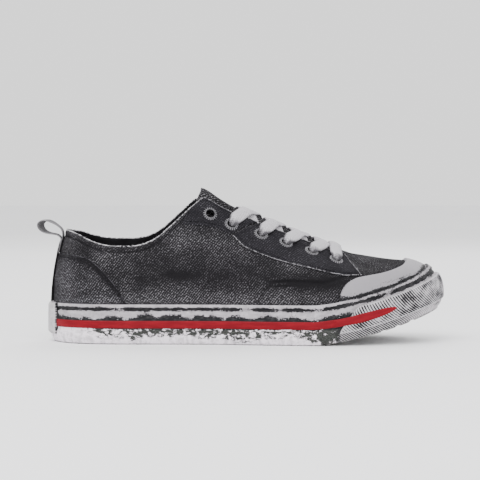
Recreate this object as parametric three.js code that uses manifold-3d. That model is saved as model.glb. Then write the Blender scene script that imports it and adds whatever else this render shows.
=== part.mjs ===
// A worn low-top canvas sneaker with a vulcanised rubber sole, a right shoe standing empty on its sole.
// Millimetres, +Z up, toe towards +X, so the outer (lateral) side of the foot is at -Y.
// The upper is lofted round a last: every column of the last climbs from the sole's edge to the ridge of the foot.

import * as THREE from "three";
import { mergeVertices } from "three/addons/utils/BufferGeometryUtils.js";
import Module from "manifold-3d";

const wasm = await Module();
wasm.setup();
const { lerp, smoothstep } = THREE.MathUtils;

// Driving dimensions of the sole
const soleLength = 299; // heel face to toe face of the foxing
const ballWidth = 106; // of the outline at the ball
const toeSpring = 26.2; // rise of the underside at the tip of the toe
const heelThickness = 16; // underside to footbed at the heel
const foreThickness = 11; // underside to footbed under the ball
const foxingHeight = 29.8; // side band over the underside, at heel and waist
const toeFoxingHeight = 29.4; // the same round the toe
const foxingWall = 2.7;
const foxingLift = 0.6; // foxing's lower edge over the underside
const edgeRound = 6; // rounded lower corner of the foxing
const topRibHeight = 3.1;
const topRibProud = 0.5;
const topGrooveHeight = 2.2;
const topGrooveDepth = 0.7;
const stripeHeight = 5.6;
const stripeLift = 12.2; // lower edge of the stripe over the underside
const stripeWall = 0.6;
const bumperWall = 1.4;
const bumperDrop = 6; // bumper's upper edge under the foxing's top
const heelPatchWall = 1.4;
const heelPatchWidth = 34;
const treadGrooveWidth = 3;
const treadGrooveDepth = 1.4;
const treadPitch = 11;
const insoleWall = 3.4;

// Driving dimensions of the upper
const instepHeight = 120; // ridge of the last over the floor, where the tongue ends
const toeBoxRise = 5.24; // ridge of the last over the foxing's top, at the toe
const heelCollarHeight = 85; // collar at the back seam
const medialCollarRise = 4; // inner side of the collar over the outer side
const upperWall = 2;
const overlayWall = 1;
const toeCapWall = 1.5;
const toeCapBand = 17.5; // toe cap's width along the surface, from the foxing's top
const throatHalfGap = 15.5; // ridge to facing edge at the top eyelet
const throatEnd = 222; // where the facings meet on the vamp
const throatRound = 11; // length of the throat's rounded end
const tongueWall = 2.2;
const tongueHalfWidth = 35; // along the surface, from the ridge
const tongueTuck = 14; // tongue under the vamp, past the throat's end
const counterHeight = 67; // counter seam at the back, over the floor
const counterReach = 61; // where the counter seam meets the foxing

// Driving dimensions of the hardware, lace and loop
const eyeletBore = 3.2;
const eyeletBarrel = 0.6;
const eyeletFlange = 5.7;
const eyeletFlangeWall = 0.8;
const eyeletInset = 12.5; // facing edge to eyelet, along the surface
const laceWidth = 9;
const laceWall = 1.2;
const lacePost = 1.7; // radius of the lace bunched up in an eyelet
const loopWidth = 12;
const loopWall = 1;

// Clearances
const fitGap = 0.3;
const overlayGap = 0.65; // between curved sheets that follow each other
const bandGap = 0.55; // foxing to upper
const laidGap = 0.5; // foxing to what is laid on it
const laceClearance = 0.8; // lace to tongue
const crossingRise = 0.9; // more of it where two strips cross

// How finely the curved sheets are divided
const archSteps = 7;
const eyeletSides = 7;

const quarterTurn = Math.PI / 2;

// Hand-chosen [place, value] pairs joined by a smooth line that never overshoots, level past its ends.
function through(pairs) {
  const xs = pairs.map((p) => p[0]);
  const ys = pairs.map((p) => p[1]);
  const slopes = xs.slice(1).map((x, i) => (ys[i + 1] - ys[i]) / (x - xs[i]));
  const tangents = xs.map((x, i) => {
    if (i === 0 || i === xs.length - 1) return slopes[Math.min(i, slopes.length - 1)];
    const before = slopes[i - 1];
    const after = slopes[i];
    return before * after <= 0 ? 0 : (2 * before * after) / (before + after);
  });
  return (x) => {
    if (x <= xs[0]) return ys[0];
    if (x >= xs.at(-1)) return ys.at(-1);
    const i = xs.findIndex((value) => value > x) - 1;
    const width = xs[i + 1] - xs[i];
    const t = (x - xs[i]) / width;
    const rise = t * t * (3 - 2 * t);
    const startBend = t * (1 - t) * (1 - t) * width * tangents[i];
    const endBend = t * t * (1 - t) * width * tangents[i + 1];
    return lerp(ys[i], ys[i + 1], rise) + startBend - endBend;
  };
}

// Finds where a rising function reaches zero.
function rootOf(rising, low, high) {
  for (let step = 0; step < 46; step += 1) {
    const middle = (low + high) / 2;
    if (rising(middle) > 0) high = middle;
    else low = middle;
  }
  return (low + high) / 2;
}

// Outline of the sole: [share of sole length, share of ball width], from the heel along the
// lateral side to the tip of the toe, and back along the medial side.
const outlineShares = [
  [0, 0], [0.028, -0.19], [0.085, -0.307], [0.17, -0.35], [0.3, -0.357], [0.43, -0.378],
  [0.56, -0.44], [0.68, -0.475], [0.78, -0.455], [0.87, -0.375], [0.94, -0.25], [0.985, -0.09],
  [1, 0.075],
  [0.985, 0.235], [0.94, 0.375], [0.87, 0.467], [0.78, 0.515], [0.69, 0.507], [0.59, 0.445],
  [0.49, 0.365], [0.39, 0.327], [0.28, 0.328], [0.17, 0.35], [0.085, 0.312], [0.028, 0.195],
];
const outlineCurve = new THREE.CatmullRomCurve3(
  outlineShares.map(([x, y]) => new THREE.Vector3(x * soleLength, y * ballWidth, 0)),
  true,
  "catmullrom",
  0.5,
);
const tipTurn = outlineShares.findIndex(([x]) => x === 1) / outlineShares.length;

// A turn runs once round the outline, 0 at the heel, tipTurn at the tip of the toe and 1 at the heel again.
function outlineAt(turn) {
  const wrapped = turn - Math.floor(turn);
  const point = outlineCurve.getPoint(wrapped);
  const tangent = outlineCurve.getTangent(wrapped);
  const outward = new THREE.Vector3(tangent.y, -tangent.x, 0);
  return { point, outward, lateral: wrapped < tipTurn };
}

// The turn on one side where the outline is at x.
function turnAt(x, lateral) {
  if (lateral) return rootOf((turn) => outlineCurve.getPoint(turn).x - x, 0, tipTurn);
  return 1 - rootOf((back) => outlineCurve.getPoint(1 - back).x - x, 0, 1 - tipTurn);
}

// Heights along the length
const springStart = 0.662 * soleLength;
function undersideAt(x) {
  const share = Math.max(0, (x - springStart) / (soleLength - springStart));
  return toeSpring * share ** 1.45;
}
const coreThicknessAt = through([
  [0.25 * soleLength, heelThickness],
  [0.62 * soleLength, foreThickness],
]);
function footbedAt(x) {
  return undersideAt(x) + coreThicknessAt(x);
}
const foxingHeightAt = through([
  [0.6 * soleLength, foxingHeight],
  [0.86 * soleLength, foxingHeight + 0.5 * (toeFoxingHeight - foxingHeight)],
  [soleLength, toeFoxingHeight],
]);
function foxingTopAt(x) {
  return undersideAt(x) + foxingHeightAt(x);
}

// The ridge of the last: 0 is its height at the toe, 1 the instep height. Behind the tongue it is the
// line that the ankle walls would close on if the collar didn't end them.
const toeBoxHeight = toeSpring + toeFoxingHeight + toeBoxRise;
const ridgeHeightAt = through(
  [
    [0.2, 1.122], [0.3, 1.081], [0.37, 1.02], [0.4, 0.945], [0.433, 0.836], [0.468, 0.73],
    [0.535, 0.58], [0.595, 0.45], [0.642, 0.351], [0.695, 0.245], [0.742, 0.148], [0.77, 0.095],
    [0.813, 0.049], [0.87, 0.016], [0.9, 0],
  ].map(([x, share]) => [x * soleLength, lerp(toeBoxHeight, instepHeight, share)]),
);
const ridgeSideAt = through(
  [[0.2, 0], [0.42, -0.005], [0.6, 0.02], [0.7, 0.045], [0.88, 0.07]].map(([x, y]) => [x * soleLength, y * ballWidth]),
);
const heelPole = 0.2 * soleLength;
const toePole = 0.882 * soleLength;
const heelFan = 0.05 * soleLength;
const toeFan = 0.04 * soleLength;

// Columns stand square to the shoe, and fan out round the heel and the toe from two poles.
function ridgePlaceAt(x) {
  const fromHeel = heelPole + heelFan * Math.log1p(Math.exp((x - heelPole) / heelFan));
  return toePole - toeFan * Math.log1p(Math.exp((toePole - fromHeel) / toeFan));
}
function ridgeAt(x) {
  const place = ridgePlaceAt(x);
  return new THREE.Vector3(place, ridgeSideAt(place), ridgeHeightAt(place));
}

// How square each section is: 2 is an ellipse, more is boxier. Low for the sides, top for the slope over the foot.
const sideSquareness = through(
  [[0, 2.3], [0.2, 2.4], [0.42, 2.35], [0.6, 2.5], [0.75, 2.7], [1, 2.35]].map(([x, n]) => [x * soleLength, n]),
);
const lateralTopSquareness = through(
  [[0, 2.3], [0.25, 2.3], [0.42, 2.05], [0.58, 1.7], [0.74, 1.5], [0.84, 1.75], [1, 2.1]].map(
    ([x, n]) => [x * soleLength, n],
  ),
);
const medialTopSquareness = through(
  [[0, 2.3], [0.25, 2.3], [0.42, 1.95], [0.58, 1.85], [0.74, 1.85], [0.84, 1.95], [1, 2.1]].map(
    ([x, n]) => [x * soleLength, n],
  ),
);

// The upper's outer face. climb runs from 0 at the sole's edge to a quarter turn at the ridge.
function lastPoint(turn, climb) {
  const { point, outward, lateral } = outlineAt(turn);
  const ridge = ridgeAt(point.x);
  const foot = point.clone().addScaledVector(outward, -(foxingWall + fitGap));
  foot.z = footbedAt(foot.x);
  const top = (lateral ? lateralTopSquareness : medialTopSquareness)(point.x);
  const squareness = lerp(sideSquareness(point.x), top, smoothstep(climb, 0.15, 1.25));
  const across = 1 - Math.max(0, Math.cos(climb)) ** (2 / squareness);
  const up = Math.max(0, Math.sin(climb)) ** (2 / squareness);
  return new THREE.Vector3(
    lerp(foot.x, ridge.x, across),
    lerp(foot.y, ridge.y, across),
    lerp(foot.z, ridge.z, up),
  );
}

// Straight out of the last's surface.
function lastNormal(turn, climb) {
  const { point, outward } = outlineAt(turn);
  if (climb >= quarterTurn - 1e-6) {
    const along = ridgeAt(point.x + 1).sub(ridgeAt(point.x - 1)).normalize();
    const up = new THREE.Vector3(0, 0, 1);
    return up.addScaledVector(along, -along.z).normalize();
  }
  if (climb < 1e-4) return outward.clone();
  const turnStep = 2e-4;
  const climbStep = Math.min(2e-3, (quarterTurn - climb) / 2, climb / 2);
  const alongTurn = lastPoint(turn + turnStep, climb).sub(lastPoint(turn - turnStep, climb));
  const alongClimb = lastPoint(turn, climb + climbStep).sub(lastPoint(turn, climb - climbStep));
  return alongTurn.cross(alongClimb).normalize();
}

// A point on the last, moved out of its surface by a distance.
function onLast(turn, climb, out) {
  return lastPoint(turn, climb).addScaledVector(lastNormal(turn, climb), out);
}

// The climb at which a column reaches a height.
function climbToHeight(turn, height) {
  return rootOf((climb) => lastPoint(turn, climb).z - height, 0, quarterTurn);
}

// The climb at which a column is a given distance, in plan, from the ridge.
function climbToRidgeDistance(turn, distance) {
  const ridge = ridgeAt(outlineAt(turn).point.x);
  return rootOf(
    (climb) => distance - Math.hypot(lastPoint(turn, climb).x - ridge.x, lastPoint(turn, climb).y - ridge.y),
    0,
    quarterTurn,
  );
}

// The climb reached after walking a distance along the surface from another climb, up (+) or down (-).
function walk(turn, climb, distance) {
  const step = Math.sign(distance) * 0.02;
  let left = Math.abs(distance);
  let place = lastPoint(turn, climb);
  while (climb + step > 0 && climb + step < quarterTurn) {
    const next = lastPoint(turn, climb + step);
    const length = next.distanceTo(place);
    if (length >= left) return climb + (step * left) / length;
    left -= length;
    place = next;
    climb += step;
  }
  return climb;
}

// Turn and climb of the surface point that is seen from the side at x and z.
function seenAt(x, z, lateral) {
  let column = x;
  for (let round = 0; round < 4; round += 1) {
    const turn = turnAt(column, lateral);
    column += x - lastPoint(turn, climbToHeight(turn, z)).x;
  }
  const turn = turnAt(column, lateral);
  return { turn, climb: climbToHeight(turn, z) };
}

// Collar line seen from the side: [share of sole length, share of the collar's height at the heel]
const collarHeightAt = through(
  [
    [0.036, 1], [0.072, 0.962], [0.104, 0.91], [0.136, 0.873], [0.17, 0.856], [0.205, 0.856],
    [0.23, 0.866], [0.258, 0.9], [0.284, 0.958], [0.31, 1.038], [0.336, 1.122], [0.36, 1.2],
    [0.378, 1.252], [0.4, 1.31], [0.45, 1.5],
  ].map(([x, z]) => [x * soleLength, z * heelCollarHeight]),
);
const throatGapAt = through([
  [0.38 * soleLength, throatHalfGap],
  [0.62 * soleLength, 0.8 * throatHalfGap],
]);
const throatRoundStart = throatEnd - throatRound;

// Half the throat's opening at x: it narrows towards the toe and closes on a round end.
function throatHalfGapAt(x) {
  const share = Math.min(1, Math.max(0, (x - throatRoundStart) / throatRound));
  return throatGapAt(x) * Math.sqrt(1 - share * share);
}

// Where the upper ends on a column: at the collar, at the facing's edge, or at the ridge on the vamp.
function edgeClimb(turn) {
  const { point, lateral } = outlineAt(turn);
  if (point.x >= throatEnd - 1e-6) return quarterTurn;
  const rise = lateral ? 0 : medialCollarRise * smoothstep(point.x, 0, 0.17 * soleLength);
  const toCollar = rootOf(
    (climb) => {
      const place = lastPoint(turn, climb);
      return place.z - collarHeightAt(place.x) - rise;
    },
    0.3,
    quarterTurn,
  );
  const toThroat = climbToRidgeDistance(turn, throatHalfGapAt(point.x));
  const blend = 0.05;
  const nearness = Math.max(0, blend - Math.abs(toCollar - toThroat)) / blend;
  return Math.min(toCollar, toThroat) - (nearness * nearness * blend) / 4;
}

// Triangles gathered face by face, then closed into one solid that faces outwards.
class Faces {
  constructor() {
    this.corners = [];
  }
  triangle(a, b, c) {
    const tiny = 1e-3;
    if (a.distanceTo(b) < tiny || b.distanceTo(c) < tiny || c.distanceTo(a) < tiny) return;
    this.corners.push(a, b, c);
  }
  quad(a, b, c, d) {
    this.triangle(a, b, c);
    this.triangle(a, c, d);
  }
  volume() {
    let sum = 0;
    for (let i = 0; i < this.corners.length; i += 3) {
      const [a, b, c] = this.corners.slice(i, i + 3);
      sum += a.dot(b.clone().cross(c)) / 6;
    }
    return sum;
  }
  geometry() {
    const list = [...this.corners];
    if (this.volume() < 0) list.reverse();
    return new THREE.BufferGeometry().setFromPoints(list);
  }
}

// A sheet with a thickness, between two grids of points of the same size.
function sheet(outer, inner) {
  const faces = new Faces();
  const lastRow = outer.length - 1;
  const lastStep = outer[0].length - 1;
  for (let i = 0; i < lastRow; i += 1) {
    for (let j = 0; j < lastStep; j += 1) {
      faces.quad(outer[i][j], outer[i + 1][j], outer[i + 1][j + 1], outer[i][j + 1]);
      faces.quad(inner[i][j], inner[i][j + 1], inner[i + 1][j + 1], inner[i + 1][j]);
    }
    faces.quad(outer[i][0], inner[i][0], inner[i + 1][0], outer[i + 1][0]);
    faces.quad(outer[i + 1][lastStep], inner[i + 1][lastStep], inner[i][lastStep], outer[i][lastStep]);
  }
  for (let j = 0; j < lastStep; j += 1) {
    faces.quad(outer[0][j], outer[0][j + 1], inner[0][j + 1], inner[0][j]);
    faces.quad(outer[lastRow][j + 1], outer[lastRow][j], inner[lastRow][j], inner[lastRow][j + 1]);
  }
  return faces.geometry();
}

// A ring whose cross-section is a closed profile, one profile for each place round it.
function ring(profiles) {
  const faces = new Faces();
  profiles.forEach((profile, i) => {
    const next = profiles[(i + 1) % profiles.length];
    profile.forEach((corner, j) => {
      const k = (j + 1) % profile.length;
      faces.quad(corner, next[j], next[k], profile[k]);
    });
  });
  return faces.geometry();
}

// A bar whose cross-section is a closed profile, with flat ends.
function bar(profiles) {
  const faces = new Faces();
  for (let i = 0; i < profiles.length - 1; i += 1) {
    profiles[i].forEach((corner, j) => {
      const k = (j + 1) % profiles[i].length;
      faces.quad(corner, profiles[i + 1][j], profiles[i + 1][k], profiles[i][k]);
    });
  }
  const first = profiles[0];
  const last = profiles.at(-1);
  for (let j = 1; j < first.length - 1; j += 1) {
    faces.triangle(first[0], first[j], first[j + 1]);
    faces.triangle(last[0], last[j + 1], last[j]);
  }
  return faces.geometry();
}

function toSolid(geometry) {
  const bare = new THREE.BufferGeometry();
  const flat = geometry.index ? geometry.toNonIndexed() : geometry;
  bare.setAttribute("position", flat.getAttribute("position"));
  const merged = mergeVertices(bare, 1e-4);
  return new wasm.Manifold(
    new wasm.Mesh({
      numProp: 3,
      vertProperties: merged.attributes.position.array,
      triVerts: new Uint32Array(merged.index.array),
    }),
  );
}

function toGeometry(solid) {
  const mesh = solid.getMesh();
  const geometry = new THREE.BufferGeometry();
  geometry.setAttribute("position", new THREE.BufferAttribute(new Float32Array(mesh.vertProperties), 3));
  geometry.setIndex(new THREE.BufferAttribute(new Uint32Array(mesh.triVerts), 1));
  return geometry;
}

function without(geometry, cutters) {
  return toGeometry(cutters.reduce((solid, cutter) => solid.subtract(toSolid(cutter)), toSolid(geometry)));
}

function joined(geometries) {
  return toGeometry(geometries.map(toSolid).reduce((whole, solid) => whole.add(solid)));
}

// A geometry made along +Z at the origin, stood on a point along a direction.
function placed(geometry, point, direction) {
  const turn = new THREE.Quaternion().setFromUnitVectors(new THREE.Vector3(0, 0, 1), direction);
  return geometry.clone().applyQuaternion(turn).translate(point.x, point.y, point.z);
}

// Evenly spread values from one number to another, both included.
function spread(from, to, steps) {
  return Array.from({ length: steps + 1 }, (_, i) => lerp(from, to, i / steps));
}

// The same, but closer together towards both ends.
function spreadToEnds(from, to, steps) {
  return spread(-quarterTurn, quarterTurn, steps).map((angle) => lerp(from, to, (1 + Math.sin(angle)) / 2));
}

// Stations along the length, the same on both sides: close together where the outline turns
// and at the round end of the throat.
function stationPlaces() {
  const endTurn = 0.15 * soleLength;
  const heel = spread(0, quarterTurn, 6).map((angle) => endTurn * (1 - Math.cos(angle)));
  const waist = spread(endTurn, throatRoundStart, 13).slice(1);
  const throat = spread(0, quarterTurn, 4).slice(1).map((angle) => throatRoundStart + throatRound * Math.sin(angle));
  const toe = spread(quarterTurn, 0, 7).map((angle) => soleLength - endTurn * (1 - Math.cos(angle)));
  const vamp = spread(throatEnd, toe[0], 3).slice(1, -1);
  return [...heel, ...waist, ...throat, ...vamp, ...toe];
}
const places = stationPlaces();
const lateralTurns = places.map((x) => turnAt(x, true));
const medialTurns = places.map((x) => turnAt(x, false));
lateralTurns[0] = 0;
lateralTurns[places.length - 1] = tipTurn;
const ringTurns = [...lateralTurns, ...medialTurns.slice(1, -1).reverse()];

// Upper: canvas and lining as one wall, open at collar and throat and underneath.
function upperGeometry() {
  const faces = new Faces();
  const columns = ringTurns.map((turn) => {
    const edge = edgeClimb(turn);
    const closed = edge >= quarterTurn - 1e-6;
    const climbs = spread(0, 1, archSteps).map((share) => edge * share ** 0.9);
    return {
      closed,
      outer: climbs.map((climb) => onLast(turn, climb, 0)),
      inner: climbs.map((climb) => onLast(turn, climb, -upperWall)),
    };
  });
  columns.forEach((column, i) => {
    const next = columns[(i + 1) % columns.length];
    for (let j = 0; j < archSteps; j += 1) {
      faces.quad(column.outer[j], next.outer[j], next.outer[j + 1], column.outer[j + 1]);
      faces.quad(column.inner[j], column.inner[j + 1], next.inner[j + 1], next.inner[j]);
    }
    faces.quad(column.outer[0], column.inner[0], next.inner[0], next.outer[0]);
    if (column.closed && next.closed) return;
    const top = archSteps;
    faces.quad(column.outer[top], next.outer[top], next.inner[top], column.inner[top]);
  });
  return faces.geometry();
}

// A sheet laid over the last, between two lines of { turn, climb } places, one under the other.
function overlay(lower, upper, steps, inside, wall) {
  const grid = (out) =>
    lower.map((low, i) =>
      spread(0, 1, steps).map((share) =>
        onLast(lerp(low.turn, upper[i].turn, share), lerp(low.climb, upper[i].climb, share), out),
      ),
    );
  return sheet(grid(inside + wall), grid(inside));
}

// Toe cap: rubber guard over the vamp, from the foxing's top up to a band's width, round at both ends.
const toeCapStart = 0.728 * soleLength;
const toeCapRound = 0.06 * soleLength;
function toeCapGeometry() {
  const turns = spreadToEnds(turnAt(toeCapStart, true), turnAt(toeCapStart, false), 25);
  const lower = [];
  const upper = [];
  turns.forEach((turn) => {
    const x = outlineAt(turn).point.x;
    const share = Math.min(1, Math.max(0.02, (x - toeCapStart) / toeCapRound));
    const band = toeCapBand * Math.sqrt(1 - (1 - share) ** 2);
    const climb = walk(turn, climbToHeight(turn, foxingTopAt(x)), overlayGap);
    lower.push({ turn, climb });
    upper.push({ turn, climb: walk(turn, climb, band) });
  });
  return overlay(lower, upper, 3, overlayGap, toeCapWall);
}

// Counter: the overlay round the heel, under a seam that slants down to the foxing.
const counterTail = 1.5; // its height where the seam meets the foxing
function counterGeometry() {
  const seamHeightAt = through([
    [0, counterHeight],
    [0.42 * counterReach, 0.955 * counterHeight],
    [0.6 * counterReach, 0.86 * counterHeight],
    [0.78 * counterReach, 0.7 * counterHeight],
    [0.98 * counterReach, foxingTopAt(counterReach) + counterTail],
  ]);
  const first = turnAt(0.98 * counterReach, false) - 1;
  const last = turnAt(0.98 * counterReach, true);
  const turns = spread(first, last, 17);
  const lower = [];
  const upper = [];
  turns.forEach((turn) => {
    const x = outlineAt(turn).point.x;
    lower.push({ turn, climb: climbToHeight(turn, foxingTopAt(x) + overlayGap) });
    upper.push({ turn, climb: climbToHeight(turn, seamHeightAt(x)) });
  });
  return overlay(lower, upper, 3, overlayGap, overlayWall);
}

// Eyelets: their places along the length, as shares of the sole's length, from the ankle to the toe.
const eyeletPlaces = [0.406, 0.459, 0.533, 0.596, 0.661, 0.724].map((share) => share * soleLength);
function eyeletSpot(index, lateral) {
  const x = eyeletPlaces[index];
  const turn = turnAt(x, lateral);
  const climb = walk(turn, climbToRidgeDistance(turn, throatGapAt(x)), -eyeletInset);
  return { turn, climb, point: lastPoint(turn, climb), out: lastNormal(turn, climb) };
}
const flangeSeat = overlayGap + overlayWall + fitGap; // under the eyelet's outer flange
const innerSeat = upperWall + fitGap + 0.8; // over its inner flange, on the hollow side of the wall
const innerFlangeWall = 0.5;
const barrelRadius = eyeletBore + eyeletBarrel;
const innerFlange = barrelRadius + fitGap + 0.5;
const drillLength = 4 * (flangeSeat + innerSeat);

function eyeletGeometry(spot) {
  const profile = [
    [eyeletBore, -innerSeat - innerFlangeWall],
    [innerFlange, -innerSeat],
    [barrelRadius, -innerSeat],
    [barrelRadius, flangeSeat],
    [eyeletFlange, flangeSeat],
    [eyeletFlange - 0.5, flangeSeat + eyeletFlangeWall],
    [eyeletBore, flangeSeat + eyeletFlangeWall],
  ];
  const outline = [...profile, profile[0]].map(([r, z]) => new THREE.Vector2(r, z));
  const lathe = new THREE.LatheGeometry(outline, eyeletSides);
  lathe.rotateX(quarterTurn);
  return placed(lathe, spot.point, spot.out);
}

function eyeletHole(spot) {
  const drill = new THREE.CylinderGeometry(barrelRadius + fitGap, barrelRadius + fitGap, drillLength, eyeletSides);
  drill.rotateX(quarterTurn);
  return placed(drill, spot.point, spot.out);
}

// Facings: overlays along the throat. The front one carries eyelets 3 to 6, the top one eyelets 1 and 2.
const facingSeam = [
  [0.4635, 0.672], [0.495, 0.6], [0.547, 0.545], [0.59, 0.51], [0.647, 0.472], [0.704, 0.443],
  [0.747, 0.432], [0.776, 0.43],
].map(([x, z]) => [x * soleLength, z * instepHeight]);
const facingSeamHeightAt = through(facingSeam);
const topSeamHeightAt = through(
  [[0.34, 0.742], [0.38, 0.738], [0.42, 0.722], [0.459, 0.682]].map(([x, z]) => [x * soleLength, z * instepHeight]),
);
const facingEdgeInset = 0.8; // overlay's edge back from the upper's own edge
const facingBack = 0.53 * soleLength; // front facing's hind corner, at the throat's edge
const facingJoint = 1.5; // between the top and the front facing
const facingToeInset = 0.6; // front facing's last column back from the throat's end

function edgeSpot(x, lateral) {
  const turn = turnAt(x, lateral);
  return { turn, climb: walk(turn, edgeClimb(turn), -facingEdgeInset) };
}

function frontFacingGeometry(lateral) {
  const steps = 13;
  const lowPlaces = spread(facingSeam[0][0], facingSeam.at(-1)[0], steps);
  const highPlaces = spread(facingBack, throatEnd - facingToeInset, steps);
  const lower = lowPlaces.map((x) => seenAt(x, facingSeamHeightAt(x), lateral));
  const upper = highPlaces.map((x) => edgeSpot(x, lateral));
  return overlay(lower, upper, 4, overlayGap, overlayWall);
}

function topFacingGeometry(lateral) {
  const steps = 8;
  const lowPlaces = spread(0.338 * soleLength, facingSeam[0][0] - facingJoint, steps);
  const highPlaces = spread(0.352 * soleLength, facingBack - facingJoint, steps);
  const lower = lowPlaces.map((x) => seenAt(x, topSeamHeightAt(x), lateral));
  const upper = highPlaces.map((x) => edgeSpot(x, lateral));
  return overlay(lower, upper, 3, overlayGap, overlayWall);
}

// A place over the throat, by its distance in plan from the ridge: negative on the lateral side.
function throatSpot(x, distance) {
  const turn = turnAt(x, distance < 0);
  const climb = Math.abs(distance) < 0.05 ? quarterTurn : climbToRidgeDistance(turn, Math.abs(distance));
  return { turn, climb };
}

// Tongue: under the facings by the room that the lace needs, and crowned between them.
const laceUnder = innerSeat + innerFlangeWall + fitGap + laceWall / 2; // depth of the lace under a facing
const tongueDepth = laceUnder + laceWall / 2 + laceClearance;
const tongueCrown = 3.7;
const tongueTop = 0.389 * soleLength; // ridge of the tongue's free end
const tongueTopSlant = 12; // how far its corners lie behind that
const crownFade = 16; // length over which the crown dies out towards the toe
const crownEnd = 6; // where it is gone, before the throat's end
function tongueDepthAt(x, distance) {
  const crown = Math.cos(quarterTurn * Math.min(1, Math.abs(distance) / (0.8 * throatGapAt(x))));
  const open = 1 - smoothstep(x, throatEnd - crownEnd - crownFade, throatEnd - crownEnd);
  return tongueDepth - tongueCrown * crown * open;
}
function tongueGeometry() {
  const rows = spread(0, 1, 11);
  const across = [-1, -0.56, -0.33, -0.17, 0, 0.17, 0.33, 0.56, 1];
  const grid = (depth) =>
    rows.map((row) =>
      across.map((share) => {
        const start = tongueTop - tongueTopSlant * share * share;
        const x = lerp(start, throatEnd + tongueTuck, row);
        const fromRidge = share * lerp(tongueHalfWidth, 0.75 * tongueHalfWidth, row);
        const turn = turnAt(x, fromRidge < 0);
        const climb = walk(turn, quarterTurn, -Math.abs(fromRidge));
        return onLast(turn, climb, -tongueDepthAt(x, fromRidge) - depth);
      }),
    );
  return sheet(grid(0), grid(tongueWall));
}

// Lace: a flat strip along places over the throat, each with its height out of the last's surface.
const flangeRise = 0.7; // of a flat flange's rim over the curved facing
const laceOver = flangeSeat + eyeletFlangeWall + flangeRise + laceWall / 2; // lace over a facing
function stripGeometry(spots) {
  const centres = spots.map(({ turn, climb, out }) => onLast(turn, climb, out));
  const profiles = centres.map((centre, i) => {
    const before = centres[Math.max(0, i - 1)];
    const after = centres[Math.min(centres.length - 1, i + 1)];
    const along = after.clone().sub(before).normalize();
    const out = lastNormal(spots[i].turn, spots[i].climb);
    const side = along.clone().cross(out).normalize().multiplyScalar((spots[i].width * laceWidth) / 2);
    const up = side.clone().cross(along).normalize().multiplyScalar(laceWall / 2);
    return [
      centre.clone().add(side).add(up),
      centre.clone().sub(side).add(up),
      centre.clone().sub(side).sub(up),
      centre.clone().add(side).sub(up),
    ];
  });
  return bar(profiles);
}

// How high a crossing lies over the tongue, riding on the highest part under the strip's width.
function onTongue(x, distance) {
  const depths = [-0.3, 0, 0.3].map((share) => tongueDepthAt(x, distance + share * laceWidth));
  return laceWall / 2 + laceClearance + crossingRise - Math.min(...depths);
}

// A crossing runs from the top of one eyelet down under the other facing to that side's next eyelet.
function crossingGeometry(index, fromLateral) {
  const from = eyeletSpot(index, fromLateral);
  const to = eyeletSpot(index + 1, !fromLateral);
  const sign = fromLateral ? -1 : 1;
  const startX = eyeletPlaces[index];
  const endX = eyeletPlaces[index + 1];
  const ridgeStart = ridgeAt(startX);
  const ridgeEnd = ridgeAt(endX);
  const startDistance = Math.abs(from.point.y - ridgeStart.y);
  const endDistance = Math.abs(to.point.y - ridgeEnd.y);
  const startGap = throatGapAt(startX);
  const endGap = throatGapAt(endX);
  const stops = [
    { distance: startDistance, out: laceOver, width: 0.6 },
    { distance: lerp(startDistance, startGap, 0.5), out: laceOver, width: 1 },
    { distance: startGap - 0.5, out: laceOver, width: 1 },
    { distance: 0.6 * startGap, out: 0.6 * laceOver, width: 1 },
    { distance: 0.25 * startGap, out: null, width: 1 },
    { distance: -0.25 * endGap, out: null, width: 1 },
    { distance: -0.5 * endGap, out: null, width: 1 },
    { distance: -(endGap - 1), out: -laceUnder, width: 0.9 },
    { distance: -endDistance, out: -laceUnder, width: 0.55 },
  ];
  const spots = stops.map(({ distance, out, width }) => {
    const x = lerp(startX, endX, (startDistance - distance) / (startDistance + endDistance));
    const spot = throatSpot(x, sign * distance);
    return { ...spot, out: out ?? onTongue(x, sign * distance), width };
  });
  return stripGeometry(spots);
}

// The lace's first bar lies straight across the throat's end, over both facings.
function toeBarGeometry() {
  const index = eyeletPlaces.length - 1;
  const x = eyeletPlaces[index];
  const ridge = ridgeAt(x);
  const lateralDistance = ridge.y - eyeletSpot(index, true).point.y;
  const medialDistance = eyeletSpot(index, false).point.y - ridge.y;
  const spots = [
    [-lateralDistance, 0.6], [-0.5 * lateralDistance, 1], [-0.25 * lateralDistance, 1], [0, 1],
    [0.25 * medialDistance, 1], [0.5 * medialDistance, 1], [medialDistance, 0.6],
  ].map(([distance, width]) => ({ ...throatSpot(x, distance), out: laceOver, width }));
  return stripGeometry(spots);
}

// Where the lace goes down an eyelet it is bunched up into a round cord.
function lacePostGeometry(spot) {
  const length = laceOver + laceUnder;
  const post = new THREE.CylinderGeometry(lacePost, lacePost, length, 4);
  post.rotateX(quarterTurn);
  const middle = spot.point.clone().addScaledVector(spot.out, (laceOver - laceUnder) / 2);
  return placed(post, middle, spot.out);
}

function laceGeometry() {
  const pieces = [toeBarGeometry()];
  for (let index = 1; index < eyeletPlaces.length; index += 1) {
    [true, false].forEach((lateral) => {
      pieces.push(lacePostGeometry(eyeletSpot(index, lateral)));
      if (index < eyeletPlaces.length - 1) pieces.push(crossingGeometry(index, lateral));
    });
  }
  return joined(pieces);
}

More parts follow.
